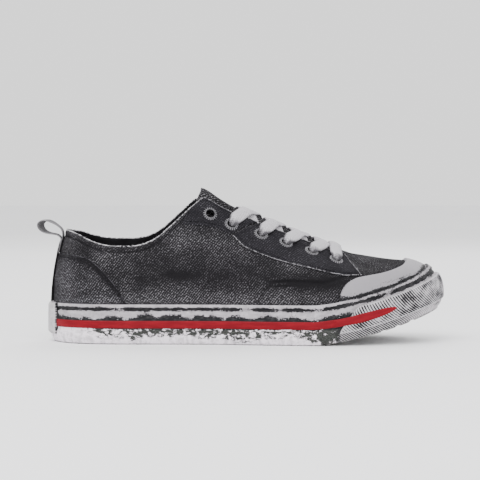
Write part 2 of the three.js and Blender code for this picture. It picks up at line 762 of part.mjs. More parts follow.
// Foxing: the side band. Its inner face follows the sole's core, then the upper; its outer
// face has a raised rib along the top, a groove under it and a round lower corner.
function foxingGeometry() {
  const profiles = ringTurns.map((turn) => {
    const { point, outward } = outlineAt(turn);
    const x = point.x;
    const bottom = undersideAt(x) + foxingLift;
    const top = foxingTopAt(x);
    const climbs = [1, 0.74, 0.4].map((share) => climbToHeight(turn, lerp(footbedAt(x), top, share)));
    const wallTo = (height, out) => {
      const place = point.clone().addScaledVector(outward, out - foxingWall - fitGap);
      place.z = height;
      return place;
    };
    const outerAt = (height, out) => onLast(turn, climbToHeight(turn, height), fitGap + foxingWall + out);
    return [
      ...climbs.map((climb) => onLast(turn, climb, bandGap)),
      wallTo(footbedAt(x), fitGap),
      wallTo(bottom, fitGap),
      wallTo(bottom, fitGap + foxingWall - 0.4 * edgeRound),
      wallTo(bottom + 0.35 * edgeRound, fitGap + foxingWall - 0.13 * edgeRound),
      wallTo(bottom + edgeRound, fitGap + foxingWall),
      wallTo(footbedAt(x), fitGap + foxingWall),
      outerAt(top - topRibHeight - topGrooveHeight - 0.4, 0),
      outerAt(top - topRibHeight - topGrooveHeight, -topGrooveDepth),
      outerAt(top - topRibHeight, -topGrooveDepth),
      outerAt(top - topRibHeight + 0.3, topRibProud),
      outerAt(top, topRibProud - 0.3),
    ];
  });
  return ring(profiles);
}

// A point out of the side band's outer face, at a height over the underside.
function onFoxing(turn, lift, out) {
  const { point, outward } = outlineAt(turn);
  const height = undersideAt(point.x) + lift;
  const footbed = footbedAt(point.x);
  if (height > footbed) return onLast(turn, climbToHeight(turn, height), fitGap + foxingWall + out);
  const place = point.clone().addScaledVector(outward, out);
  place.z = height;
  return place;
}

// A strip laid on the side band between two heights over the underside, given for each turn.
function bandStrip(turns, lowAt, highAt, steps, insideAt, wall) {
  const grid = (extra) =>
    turns.map((turn) =>
      spread(0, 1, steps).map((share) =>
        onFoxing(turn, lerp(lowAt(turn), highAt(turn), share), insideAt(turn) + extra),
      ),
    );
  return sheet(grid(wall), grid(0));
}

// Toe bumper: laid on the foxing round the toe. Its ends slant forward and are round at the top.
const bumperStart = 0.728 * soleLength;
const bumperSlant = 0.034 * soleLength; // how far the top of its ends is ahead of the bottom
const bumperRound = 0.022 * soleLength;
function bumperGeometry() {
  const first = [turnAt(bumperStart, true), turnAt(bumperStart, false)];
  const lead = [turnAt(bumperStart + bumperSlant, true), turnAt(bumperStart + bumperSlant, false)];
  const foot = edgeRound + foxingLift;
  const columns = spreadToEnds(0, 1, 26);
  const heights = spread(0, 1, 3);
  const grid = (out) =>
    columns.map((column) =>
      heights.map((share) => {
        const slant = share ** 1.5;
        const turn = lerp(lerp(first[0], lead[0], slant), lerp(first[1], lead[1], slant), column);
        const x = outlineAt(turn).point.x;
        const ahead = Math.min(1, Math.max(0, x - bumperStart - bumperSlant * slant) / bumperRound);
        const full = foxingHeightAt(x) - bumperDrop;
        const top = full - 0.3 * (full - foot) * (1 - Math.sqrt(1 - (1 - ahead) ** 2));
        return onFoxing(turn, lerp(foot, top, share), out);
      }),
    );
  return sheet(grid(laidGap + bumperWall), grid(laidGap));
}

// Heel patch: a plain rubber strip over the foxing's joint at the back.
const heelPatchTurn = rootOf((turn) => -outlineCurve.getPoint(turn).y - heelPatchWidth / 2, 0, 0.25 * tipTurn);
function heelPatchGeometry() {
  const turns = spread(-heelPatchTurn, heelPatchTurn, 6);
  return bandStrip(
    turns,
    () => edgeRound + foxingLift,
    () => foxingHeight - 0.4,
    4,
    () => laidGap + topRibProud,
    heelPatchWall,
  );
}

// Stripe: from the heel patch along the foxing and up on the bumper, where it ends in a taper.
const stripeTip = 0.868 * soleLength;
const stripeTaper = 0.09 * soleLength;
const rampLead = 2; // the stripe is up at the bumper's height this far before it
const rampLength = 5;
function stripeGeometry(lateral) {
  const start = lateral ? heelPatchTurn + 0.004 : 1 - heelPatchTurn - 0.004;
  const turns = spreadToEnds(start, turnAt(stripeTip, lateral), 22);
  const rampEnd = bumperStart - rampLead;
  const insideAt = (turn) => {
    const ramp = smoothstep(outlineAt(turn).point.x, rampEnd - rampLength, rampEnd);
    return laidGap + ramp * (bumperWall + laidGap);
  };
  const taperAt = (turn) => {
    const share = Math.max(0, (outlineAt(turn).point.x - stripeTip + stripeTaper) / stripeTaper);
    return Math.sqrt(Math.max(0.02, 1 - share * share));
  };
  const middle = stripeLift + stripeHeight / 2;
  return bandStrip(
    turns,
    (turn) => middle - (stripeHeight / 2) * taperAt(turn),
    (turn) => middle + (stripeHeight / 2) * taperAt(turn),
    1,
    insideAt,
    stripeWall,
  );
}

// A slab inside the outline, between two heights that change along the shoe.
function slabGeometry(inset, bottomAt, topAt) {
  const points = (heightAt) =>
    places.map((_, i) =>
      [lateralTurns[i], medialTurns[i]].map((turn) => {
        const { point, outward } = outlineAt(turn);
        const place = point.clone().addScaledVector(outward, -inset);
        place.z = heightAt(place.x);
        return place;
      }),
    );
  return sheet(points(topAt), points(bottomAt));
}

// Outsole with its core up to the footbed. Grooves cross the tread under the heel and the ball.
const coreInset = foxingWall + fitGap;
function treadGrooves() {
  const fields = [
    [0.07 * soleLength, 0.25 * soleLength],
    [0.47 * soleLength, 0.92 * soleLength],
  ];
  const grooves = [];
  fields.forEach(([from, to]) => {
    const count = Math.floor((to - from) / treadPitch);
    spread(from, from + count * treadPitch, count).forEach((x) => {
      const groove = new THREE.BoxGeometry(treadGrooveWidth, 1.4 * ballWidth, 2 * treadGrooveDepth);
      grooves.push(groove.translate(x, 0, undersideAt(x)));
    });
  });
  return grooves;
}
function outsoleGeometry() {
  const core = slabGeometry(coreInset, undersideAt, (x) => footbedAt(x) - fitGap);
  return without(core, treadGrooves());
}

function insoleGeometry() {
  return slabGeometry(coreInset + upperWall + 0.9, footbedAt, (x) => footbedAt(x) + insoleWall);
}

// Pull loop: webbing sewn up the back seam that leaves it near the collar, loops out behind, and comes
// back to lie between its own start and the upper. Places are [along, up] from the collar's back.
const loopPlaces = [
  [-4.2, -7], [-6.2, -4.6], [-9.6, -3.5], [-14, -2.8], [-17.6, -1.2], [-19.9, 1.6], [-20.1, 4.6],
  [-18, 6.7], [-14.6, 7.2], [-10.4, 5.7], [-6.4, 3.2], [-3.6, 0.6], [-2.6, -2.4],
];
const loopYaw = 0.36; // turn of the loop's tip about the vertical
const loopLeave = 21; // under the collar, where the webbing leaves the back seam for the loop
const loopStart = [16, 10.5]; // its start's places under the collar
const loopEnd = [5.5, 10, 14.5]; // the same for its sewn-in end
function pullLoopGeometry() {
  const collar = onLast(0, edgeClimb(0), 0);
  const alongBack = (drop, out) => onLast(0, climbToHeight(0, collar.z - drop), out);
  const underOut = fitGap + loopWall / 2;
  const outerOut = underOut + fitGap + loopWall;
  const seamOut = overlayGap + overlayWall + laidGap + fitGap + loopWall / 2;
  const seamLength = collar.z - foxingTopAt(0) - 1;
  const rise = spread(seamLength, loopLeave, 4).map((drop) => alongBack(drop, seamOut));
  const start = [alongBack(loopStart[0], Math.max(seamOut, outerOut)), alongBack(loopStart[1], outerOut)];
  const free = loopPlaces.map(([along, up]) => new THREE.Vector3(collar.x + along, 0, collar.z + up));
  const end = loopEnd.map((drop) => alongBack(drop, underOut));
  const curve = new THREE.CatmullRomCurve3([...rise, ...start, ...free, ...end], false, "centripetal");
  const profiles = spread(0, 1, 34).map((share) => {
    const centre = curve.getPoint(share);
    const along = curve.getTangent(share);
    const yaw = loopYaw * smoothstep(collar.x - centre.x, 5, 16);
    const side = new THREE.Vector3(Math.sin(yaw), Math.cos(yaw), 0);
    const out = side.clone().cross(along).normalize().multiplyScalar(loopWall / 2);
    side.multiplyScalar(loopWidth / 2);
    return [
      centre.clone().add(out).add(side),
      centre.clone().add(out).sub(side),
      centre.clone().sub(out).sub(side),
      centre.clone().sub(out).add(side),
    ];
  });
  return bar(profiles);
}

// Materials
const canvas = new THREE.MeshStandardMaterial({ color: 0x46454a, roughness: 0.95, metalness: 0 });
const canvasEdge = new THREE.MeshStandardMaterial({ color: 0x3a393d, roughness: 0.95, metalness: 0 });
const lining = new THREE.MeshStandardMaterial({ color: 0x232226, roughness: 0.95, metalness: 0 });
const rubber = new THREE.MeshStandardMaterial({ color: 0xd8d4d8, roughness: 0.6, metalness: 0 });
const capRubber = new THREE.MeshStandardMaterial({ color: 0xbdbbc0, roughness: 0.55, metalness: 0 });
const redRubber = new THREE.MeshStandardMaterial({ color: 0xb93136, roughness: 0.5, metalness: 0 });
const cotton = new THREE.MeshStandardMaterial({ color: 0xc6c4c8, roughness: 0.9, metalness: 0 });
const metal = new THREE.MeshStandardMaterial({ color: 0x8d8c90, roughness: 0.45, metalness: 0.9 });

function piece(name, geometry, material) {
  const mesh = new THREE.Mesh(geometry, material);
  mesh.name = name;
  return mesh;
}

// The whole shoe
const shoe = new THREE.Group();
const sideNames = [["lateral", true], ["medial", false]];
const holes = { lateral: [], medial: [] };
sideNames.forEach(([side, lateral]) => {
  eyeletPlaces.forEach((_, index) => {
    const spot = eyeletSpot(index, lateral);
    holes[side].push(eyeletHole(spot));
    shoe.add(piece(`eyelet_${side}_${index + 1}`, eyeletGeometry(spot), metal));
  });
  const topHoles = holes[side].slice(0, 2);
  const frontHoles = holes[side].slice(2);
  shoe.add(piece(`facing_top_${side}`, without(topFacingGeometry(lateral), topHoles), canvasEdge));
  shoe.add(piece(`facing_front_${side}`, without(frontFacingGeometry(lateral), frontHoles), canvasEdge));
  shoe.add(piece(`stripe_${side}`, stripeGeometry(lateral), redRubber));
});
shoe.add(piece("upper", without(upperGeometry(), [...holes.lateral, ...holes.medial]), canvas));
shoe.add(piece("counter", counterGeometry(), canvas));
shoe.add(piece("toe_cap", toeCapGeometry(), capRubber));
shoe.add(piece("tongue", tongueGeometry(), canvas));
shoe.add(piece("lace", laceGeometry(), cotton));
shoe.add(piece("pull_loop", pullLoopGeometry(), canvas));
shoe.add(piece("foxing", foxingGeometry(), rubber));
shoe.add(piece("toe_bumper", bumperGeometry(), rubber));
shoe.add(piece("heel_patch", heelPatchGeometry(), rubber));
shoe.add(piece("outsole", outsoleGeometry(), rubber));
shoe.add(piece("insole", insoleGeometry(), lining));

// The origin is on the floor, under the middle of the shoe's box.
const box = new THREE.Box3().setFromObject(shoe);
const middle = box.getCenter(new THREE.Vector3());
shoe.position.set(-middle.x, -middle.y, -box.min.z);

export default shoe;
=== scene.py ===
import math
from functools import partial

import bmesh
import bpy
import numpy as np
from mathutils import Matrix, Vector


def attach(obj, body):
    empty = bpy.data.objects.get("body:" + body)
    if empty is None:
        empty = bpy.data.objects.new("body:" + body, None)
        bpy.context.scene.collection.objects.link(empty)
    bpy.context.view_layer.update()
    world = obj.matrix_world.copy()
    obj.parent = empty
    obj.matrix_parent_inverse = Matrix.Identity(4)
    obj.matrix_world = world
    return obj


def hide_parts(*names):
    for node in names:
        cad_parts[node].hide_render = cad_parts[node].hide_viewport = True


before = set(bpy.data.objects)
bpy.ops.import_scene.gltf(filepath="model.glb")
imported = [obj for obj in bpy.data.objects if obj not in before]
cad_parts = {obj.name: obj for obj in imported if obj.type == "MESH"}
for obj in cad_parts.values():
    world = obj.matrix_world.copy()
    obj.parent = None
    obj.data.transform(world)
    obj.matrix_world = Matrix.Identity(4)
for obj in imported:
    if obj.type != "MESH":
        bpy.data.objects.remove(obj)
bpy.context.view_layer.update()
quarterTurn = math.pi / 2

# A worn low canvas sneaker, right foot. Lengths here are millimetres from the back of the heel,
# as in the part's source; makeMesh moves them into the frame, in metres.
shoe = {
    "origin": (145.133, 2.484, 0.0),  # the frame's origin, from the back of the heel
    "soleLength": 299.0,
    "ballWidth": 106.0,
    "toeSpring": 26.2,
    "heelThickness": 16.0,
    "foreThickness": 11.0,
    "foxingHeight": 29.8,
    "toeFoxingHeight": 29.4,
    "foxingWall": 2.7,
    "instepHeight": 120.0,
    "toeBoxHeight": 60.84,
    "heelCollarHeight": 85.0,
    "medialCollarRise": 4.0,
    "throatHalfGap": 15.5,
    "throatEnd": 222.0,
    "throatRound": 11.0,
    "fitGap": 0.3,
}
soleLength = shoe["soleLength"]
ballWidth = shoe["ballWidth"]


# Small numeric helpers

def through(pairs, scaleX=1.0, scaleY=1.0):
    # smooth line through given pairs that never overshoots
    xs = np.array([p[0] for p in pairs], float) * scaleX
    ys = np.array([p[1] for p in pairs], float) * scaleY
    slopes = np.diff(ys) / np.diff(xs)
    tangents = np.concatenate([slopes[:1], slopes])
    before, after = slopes[:-1], slopes[1:]
    total = np.where(before + after == 0, 1, before + after)
    tangents[1:-1] = np.where(before * after <= 0, 0, 2 * before * after / total)

    def value(x):
        x = np.asarray(x, float)
        i = np.clip(np.searchsorted(xs, x, side="right") - 1, 0, len(xs) - 2)
        width = xs[i + 1] - xs[i]
        t = np.clip((x - xs[i]) / width, 0, 1)
        rise = t * t * (3 - 2 * t)
        bend = t * (1 - t) ** 2 * width * tangents[i] - t * t * (1 - t) * width * tangents[i + 1]
        return ys[i] + (ys[i + 1] - ys[i]) * rise + bend
    return value


def smooth(x, low, high):
    t = np.clip((np.asarray(x, float) - low) / (high - low), 0, 1)
    return t * t * (3 - 2 * t)


def mix(a, b, t):
    return a + (b - a) * t


def together(*values):
    return np.broadcast_arrays(*(np.asarray(value, float) for value in values))


def hill(distance, width):
    # 1 where the distance is nought, falling away on both sides
    return np.exp(-(distance / width) ** 2)


def rootOf(rising, low, high):
    # halves the range until it closes on the zero
    low, high = np.asarray(low, float), np.asarray(high, float)
    for _ in range(34):
        middle = (low + high) / 2
        above = rising(middle) > 0
        high = np.where(above, middle, high)
        low = np.where(above, low, middle)
    return (low + high) / 2


def ripple(u, v, size, seed):
    # soft random hills about `size` apart, between roughly -1 and 1
    rng = np.random.default_rng(seed)
    total = np.zeros(np.broadcast(u, v).shape)
    for _ in range(9):
        angle, phase = rng.uniform(0, 2 * math.pi, 2)
        wave = size * rng.uniform(0.6, 1.7)
        total += np.sin((u * math.cos(angle) + v * math.sin(angle)) * 2 * math.pi / wave + phase)
    return total / 4.5


def unit(vectors):
    return vectors / np.maximum(np.linalg.norm(vectors, axis=-1, keepdims=True), 1e-9)


def toEnds(count):
    # 0 to 1, closer together towards both ends
    return (1 - np.cos(np.linspace(0, math.pi, count))) / 2


# The last: the same rules as the part's source, here for whole grids at once

outlineShares = np.array([
    [0, 0], [0.028, -0.19], [0.085, -0.307], [0.17, -0.35], [0.3, -0.357], [0.43, -0.378],
    [0.56, -0.44], [0.68, -0.475], [0.78, -0.455], [0.87, -0.375], [0.94, -0.25], [0.985, -0.09],
    [1, 0.075],
    [0.985, 0.235], [0.94, 0.375], [0.87, 0.467], [0.78, 0.515], [0.69, 0.507], [0.59, 0.445],
    [0.49, 0.365], [0.39, 0.327], [0.28, 0.328], [0.17, 0.35], [0.085, 0.312], [0.028, 0.195],
]) * [soleLength, ballWidth]
tipTurn = 12 / len(outlineShares)


def outlineAt(turn):
    count = len(outlineShares)
    place = (np.asarray(turn, float) % 1) * count
    i = np.floor(place).astype(int) % count
    t = (place - np.floor(place))[..., None]
    p0, p1, p2, p3 = (outlineShares[(i + k) % count] for k in (-1, 0, 1, 2))
    t0, t1 = 0.5 * (p2 - p0), 0.5 * (p3 - p1)
    c2 = -3 * p1 + 3 * p2 - 2 * t0 - t1
    c3 = 2 * p1 - 2 * p2 + t0 + t1
    point = p1 + t0 * t + c2 * t * t + c3 * t ** 3
    along = unit(t0 + 2 * c2 * t + 3 * c3 * t * t)
    return point, np.stack([along[..., 1], -along[..., 0]], -1)


def turnAt(x, lateral):
    x = np.asarray(x, float)

    def pastX(turn):
        return outlineAt(turn if lateral else 1 - turn)[0][..., 0] - x
    turn = rootOf(pastX, np.zeros_like(x), np.full_like(x, tipTurn if lateral else 1 - tipTurn))
    return turn if lateral else 1 - turn


springStart = 0.662 * soleLength


def undersideAt(x):
    share = np.maximum(0, (np.asarray(x, float) - springStart) / (soleLength - springStart))
    return shoe["toeSpring"] * share ** 1.45


coreThicknessAt = through([(0.25, shoe["heelThickness"]), (0.62, shoe["foreThickness"])], soleLength)
foxingHeightAt = through(
    [(0.6, shoe["foxingHeight"]), (0.86, (shoe["foxingHeight"] + shoe["toeFoxingHeight"]) / 2),
     (1, shoe["toeFoxingHeight"])], soleLength)


def footbedAt(x):
    return undersideAt(x) + coreThicknessAt(x)


def foxingTopAt(x):
    return undersideAt(x) + foxingHeightAt(x)


ridgeShareAt = through([
    (0.2, 1.122), (0.3, 1.081), (0.37, 1.02), (0.4, 0.945), (0.433, 0.836), (0.468, 0.73),
    (0.535, 0.58), (0.595, 0.45), (0.642, 0.351), (0.695, 0.245), (0.742, 0.148), (0.77, 0.095),
    (0.813, 0.049), (0.87, 0.016), (0.9, 0),
], soleLength)
ridgeSideAt = through(
    [(0.2, 0), (0.42, -0.005), (0.6, 0.02), (0.7, 0.045), (0.88, 0.07)], soleLength, ballWidth)
heelPole, toePole = 0.2 * soleLength, 0.882 * soleLength
heelFan, toeFan = 0.05 * soleLength, 0.04 * soleLength
sideSquareness = through([(0, 2.3), (0.2, 2.4), (0.42, 2.35), (0.6, 2.5), (0.75, 2.7), (1, 2.35)], soleLength)
lateralTopSquareness = through(
    [(0, 2.3), (0.25, 2.3), (0.42, 2.05), (0.58, 1.7), (0.74, 1.5), (0.84, 1.75), (1, 2.1)], soleLength)
medialTopSquareness = through(
    [(0, 2.3), (0.25, 2.3), (0.42, 1.95), (0.58, 1.85), (0.74, 1.85), (0.84, 1.95), (1, 2.1)], soleLength)


def ridgeAt(x):
    fromHeel = heelPole + heelFan * np.logaddexp(0, (np.asarray(x, float) - heelPole) / heelFan)
    place = toePole - toeFan * np.logaddexp(0, (toePole - fromHeel) / toeFan)
    height = mix(shoe["toeBoxHeight"], shoe["instepHeight"], ridgeShareAt(place))
    return np.stack([place, ridgeSideAt(place), height], -1)


def lastPoint(turn, climb):
    turn, climb = together(turn, climb)
    point, outward = outlineAt(turn)
    x = point[..., 0]
    ridge = ridgeAt(x)
    foot = point - outward * (shoe["foxingWall"] + shoe["fitGap"])
    footZ = footbedAt(foot[..., 0])
    top = np.where(turn % 1 < tipTurn, lateralTopSquareness(x), medialTopSquareness(x))
    squareness = mix(sideSquareness(x), top, smooth(climb, 0.15, 1.25))
    across = 1 - np.maximum(0, np.cos(climb)) ** (2 / squareness)
    up = np.maximum(0, np.sin(climb)) ** (2 / squareness)
    return np.stack([
        mix(foot[..., 0], ridge[..., 0], across),
        mix(foot[..., 1], ridge[..., 1], across),
        mix(footZ, ridge[..., 2], up),
    ], -1)


def lastNormal(turn, climb):
    turn, climb = together(turn, climb)
    point, outward = outlineAt(turn)
    step = np.maximum(np.minimum(2e-3, np.minimum((quarterTurn - climb) / 2, climb / 2)), 1e-6)
    alongTurn = lastPoint(turn + 2e-4, climb) - lastPoint(turn - 2e-4, climb)
    alongClimb = lastPoint(turn, climb + step) - lastPoint(turn, climb - step)
    normal = unit(np.cross(alongTurn, alongClimb))
    along = unit(ridgeAt(point[..., 0] + 1) - ridgeAt(point[..., 0] - 1))
    top = unit(np.array([0, 0, 1.0]) - along * along[..., 2:])
    flat = np.concatenate([outward, np.zeros_like(outward[..., :1])], -1)
    normal = np.where((climb >= quarterTurn - 1e-5)[..., None], top, normal)
    return np.where((climb < 1e-4)[..., None], flat, normal)


def climbToHeight(turn, height):
    turn, height = together(turn, height)
    zero = np.zeros(turn.shape)
    return rootOf(lambda climb: lastPoint(turn, climb)[..., 2] - height, zero, zero + quarterTurn)


def climbToRidgeDistance(turn, distance):
    turn, distance = together(turn, distance)
    ridge = ridgeAt(outlineAt(turn)[0][..., 0])
    zero = np.zeros(turn.shape)
    return rootOf(
        lambda climb: distance - np.hypot(*(np.moveaxis(lastPoint(turn, climb) - ridge, -1, 0)[:2])),
        zero, zero + quarterTurn)


def walk(turn, climb, distance):
    # the climb reached after going a distance along the surface, up (+) or down (-)
    turn, climb, distance = (np.array(a) for a in together(turn, climb, distance))
    step = np.sign(distance) * 0.02
    left = np.abs(distance)
    place = lastPoint(turn, climb)
    going = left > 0
    for _ in range(90):
        onward = climb + step
        going &= (onward > 0) & (onward < quarterTurn)
        if not going.any():
            break
        ahead = lastPoint(turn, onward)
        length = np.maximum(np.linalg.norm(ahead - place, axis=-1), 1e-9)
        ends = going & (length >= left)
        climb = np.where(ends, climb + step * left / length, np.where(going, onward, climb))
        left = np.where(going, left - length, left)
        place = np.where((going & ~ends)[..., None], ahead, place)
        going &= ~ends
    return climb


def seenAt(x, z, lateral):
    column = np.array(x, float)
    for _ in range(4):
        turn = turnAt(column, lateral)
        column = column + x - lastPoint(turn, climbToHeight(turn, z))[..., 0]
    turn = turnAt(column, lateral)
    return turn, climbToHeight(turn, z)


collarHeightAt = through([
    (0.036, 1), (0.072, 0.962), (0.104, 0.91), (0.136, 0.873), (0.17, 0.856), (0.205, 0.856),
    (0.23, 0.866), (0.258, 0.9), (0.284, 0.958), (0.31, 1.038), (0.336, 1.122), (0.36, 1.2),
    (0.378, 1.252), (0.4, 1.31), (0.45, 1.5),
], soleLength, shoe["heelCollarHeight"])
throatGapAt = through([(0.38, shoe["throatHalfGap"]), (0.62, 0.8 * shoe["throatHalfGap"])], soleLength)


def throatHalfGapAt(x):
    start = shoe["throatEnd"] - shoe["throatRound"]
    share = np.clip((np.asarray(x, float) - start) / shoe["throatRound"], 0, 1)
    return throatGapAt(x) * np.sqrt(1 - share * share)


def edgeClimb(turn):
    # where the upper ends on a column: collar, facing edge, or the ridge on the vamp
    turn = np.asarray(turn, float)
    x = outlineAt(turn)[0][..., 0]
    lateral = turn % 1 < tipTurn
    rise = np.where(lateral, 0, shoe["medialCollarRise"] * smooth(x, 0, 0.17 * soleLength))

    def overCollar(climb):
        place = lastPoint(turn, climb)
        return place[..., 2] - collarHeightAt(place[..., 0]) - rise
    toCollar = rootOf(overCollar, np.full(turn.shape, 0.3), np.full(turn.shape, quarterTurn))
    toThroat = climbToRidgeDistance(turn, throatHalfGapAt(x))
    nearness = np.maximum(0, 0.05 - np.abs(toCollar - toThroat)) / 0.05
    edge = np.minimum(toCollar, toThroat) - nearness ** 2 * 0.05 / 4
    return np.where(x >= shoe["throatEnd"] - 1e-6, quarterTurn, edge)


# Creases of the worn canvas: seen from the side, [along, up] from the heel and the floor. Each is a
# trough with a ridge on either side: path, width, depth, the ridges above and below as shares of the
# depth, and how dark the painted shade in the bottom of the trough is.
creases = {
    "lateral": [
        ([(164, 46.5), (178, 47.6), (196, 46.6), (206, 46.4), (224, 51.5)], 1.1, 1.2, 0.75, 0.5, 0.55),
        ([(166, 43.2), (182, 44.6), (200, 44.0)], 1.0, 0.7, 0.4, 0.5, 0.3),
        ([(168, 46), (162, 40.5), (158.5, 34), (157, 29)], 1.3, 0.9, 0.7, 0.5, 0.4),
        ([(82, 52.5), (96, 51), (112, 52)], 3.4, 0.5, 0.4, 0.5, 0),
        ([(112, 60), (126, 55), (146, 53)], 3.0, 0.4, 0.4, 0.4, 0),
        ([(60, 64), (74, 58.5), (92, 57)], 2.6, 0.4, 0.5, 0.3, 0),
        ([(226, 62.5), (238, 58.5), (250, 56.5)], 2.2, 0.8, 0.4, 0.3, 0),
        ([(20, 62), (34, 56), (44, 47)], 2.6, 0.6, 0.4, 0.4, 0),
    ],
    "medial": [
        ([(158, 44), (176, 48), (194, 47), (214, 51)], 1.6, 1.4, 0.7, 0.5, 0),
        ([(170, 41), (186, 42), (200, 40)], 1.3, 1.0, 0.4, 0.5, 0),
        ([(84, 56), (104, 52), (126, 54)], 3.4, 1.1, 0.4, 0.4, 0),
        ([(62, 62), (76, 57), (96, 60)], 2.4, 0.7, 0.4, 0.4, 0),
        ([(222, 58), (236, 56), (250, 57.5)], 2.2, 0.8, 0.4, 0.3, 0),
    ],
    "hillSize": 34,  # soft unevenness between the creases
    "hillHeight": 0.45,
    "wrinkleSize": 9,
    "wrinkleHeight": 0.1,
}


def pathDistance(x, z, path):
    # signed distance to a path seen from the side, and how far along it the nearest place is
    best = np.full(x.shape, 1e9)
    signed = np.zeros(x.shape)
    share = np.zeros(x.shape)
    points = np.array(path, float)
    lengths = np.linalg.norm(np.diff(points, axis=0), axis=1)
    done = 0.0
    for start, end, length in zip(points[:-1], points[1:], lengths):
        direction = (end - start) / length
        t = np.clip((x - start[0]) * direction[0] + (z - start[1]) * direction[1], 0, length)
        away = np.hypot(x - start[0] - direction[0] * t, z - start[1] - direction[1] * t)
        side = np.where((z - start[1]) * direction[0] - (x - start[0]) * direction[1] > 0, 1, -1)
        near = away < best
        best = np.where(near, away, best)
        signed = np.where(near, side * away, signed)
        share = np.where(near, (done + t) / lengths.sum(), share)
        done += length
    return signed, share


def creaseAt(turn, climb):
    place = lastPoint(turn, climb)
    x, y, z = np.moveaxis(place, -1, 0)
    lateral = (np.broadcast_to(turn, x.shape) % 1) < tipTurn
    depth = np.zeros(x.shape)
    for side, chosen in (("lateral", lateral), ("medial", ~lateral)):
        for path, width, deep, above, below, _ in creases[side]:
            signed, share = pathDistance(x, z, path)
            away = np.abs(signed) / width
            shape = np.where(signed > 0, above, below) * np.exp(-(away - 1.9) ** 2) - np.exp(-away ** 2)
            ends = smooth(share, 0, 0.18) * (1 - smooth(share, 0.8, 1))
            depth += np.where(chosen, deep * shape * (0.15 + 0.85 * ends) * (away < 6), 0)
    depth += creases["hillHeight"] * ripple(x, z + y, creases["hillSize"], 3)
    depth += creases["wrinkleHeight"] * ripple(x, z + 0.7 * y, creases["wrinkleSize"], 8)
    atFoxing = smooth(z - foxingTopAt(x), 0.5, 6)
    atToe = 1 - smooth(x, 232, 262)
    return depth * atFoxing * (0.25 + 0.75 * atToe)


def foldShadeAt(x, z, side):
    # how dark the painted shade in the bottom of the sharp folds is here
    dark = np.zeros(x.shape)
    for path, *_, troughShade in creases[side]:
        signed, share = pathDistance(x, z, path)
        dark += troughShade * hill(signed, 0.8) * smooth(share, 0, 0.12) * (1 - smooth(share, 0.86, 1))
    return dark


def onUpper(turn, climb, out):
    # a point over the worn upper's surface
    depth = np.asarray(out, float) + creaseAt(turn, climb)
    return lastPoint(turn, climb) + lastNormal(turn, climb) * depth[..., None]


def onFoxing(turn, lift, out):
    # a point out of the side band's outer face, at a height over the underside
    turn, lift, out = together(turn, lift, out)
    point, outward = outlineAt(turn)
    height = undersideAt(point[..., 0]) + lift
    climb = climbToHeight(turn, height)
    out = out[..., None]
    high = lastPoint(turn, climb) + lastNormal(turn, climb) * (shoe["fitGap"] + shoe["foxingWall"] + out)
    low = np.concatenate([point + outward * out, height[..., None]], -1)
    return np.where((height > footbedAt(point[..., 0]))[..., None], high, low)


heelLine = outlineAt(np.linspace(0, float(turnAt(70.0, True)), 200))[0]
heelSteps = np.linalg.norm(np.diff(heelLine, axis=0, prepend=heelLine[:1]), axis=1)
heelExtra = np.cumsum(heelSteps) - heelLine[:, 0]  # length round the heel that x alone doesn't count
tableTurns, tableClimbs = np.linspace(0, 1, 401), np.linspace(0, quarterTurn, 121)
tablePlaces = lastPoint(tableTurns[:, None], tableClimbs[None, :])
tableSteps = np.linalg.norm(np.diff(tablePlaces, axis=1, prepend=tablePlaces[:, :1]), axis=-1)
tableUps = np.cumsum(tableSteps, axis=1)
tableUps += tablePlaces[:, :1, 2]


def upTheCloth(turn, climb):
    # length over the last, up a column from the floor's level
    place = (turn % 1) * (len(tableTurns) - 1)
    height = np.clip(climb / quarterTurn, 0, 1) * (len(tableClimbs) - 1)
    i = np.minimum(place.astype(int), len(tableTurns) - 2)
    j = np.minimum(height.astype(int), len(tableClimbs) - 2)
    lower, higher = (mix(tableUps[i, k], tableUps[i + 1, k], place - i) for k in (j, j + 1))
    return mix(lower, higher, height - j)


def clothPlace(turn, climb):
    # where a point lies on the flat cloth, in mm: along the shoe, and up one side and down the other
    turn, climb = together(turn, climb)
    outline = outlineAt(turn)[0][..., 0]
    along = lastPoint(turn, climb)[..., 0] + np.interp(outline, heelLine[:, 0], heelExtra) - heelExtra[-1]
    vampPlaces = np.linspace(shoe["throatEnd"], soleLength - 1, 60)
    overTop = sum(upTheCloth(turnAt(vampPlaces, side), np.full(60, quarterTurn)) for side in (True, False))
    up = upTheCloth(turn, climb)
    down = np.interp(outline, vampPlaces, overTop) - up
    return np.stack([along, np.where(turn % 1 < tipTurn, up, down)], -1)


# Mesh helpers

def makeMesh(name, materials, points, faces, uv, fields, sharpAngle, patches=None):
    # points in mm from the heel; uv and fields are one value for each point
    mesh = bpy.data.meshes.new(name)
    where = (np.asarray(points, float).reshape(-1, 3) - np.array(shoe["origin"])) / 1000
    faces = np.asarray(faces)
    mesh.from_pydata(where.tolist(), [], faces.tolist())
    if uv is not None:
        layer = mesh.uv_layers.new(name="cloth")
        corners = np.empty(len(mesh.loops), int)
        mesh.loops.foreach_get("vertex_index", corners)
        layer.data.foreach_set("uv", np.asarray(uv, float).reshape(-1, 2)[corners].ravel())
    for field, values in fields.items():
        attribute = mesh.attributes.new(field, "FLOAT", "POINT")
        attribute.data.foreach_set("value", np.asarray(values, float).ravel())
    for material in materials:
        mesh.materials.append(material)
    if patches is not None:
        mesh.polygons.foreach_set("material_index", patches)
    mesh.update()
    mesh.validate()
    mesh.shade_smooth()
    mesh.set_sharp_from_angle(angle=math.radians(sharpAngle))
    thing = bpy.data.objects.new(name, mesh)
    bpy.context.collection.objects.link(thing)
    return thing


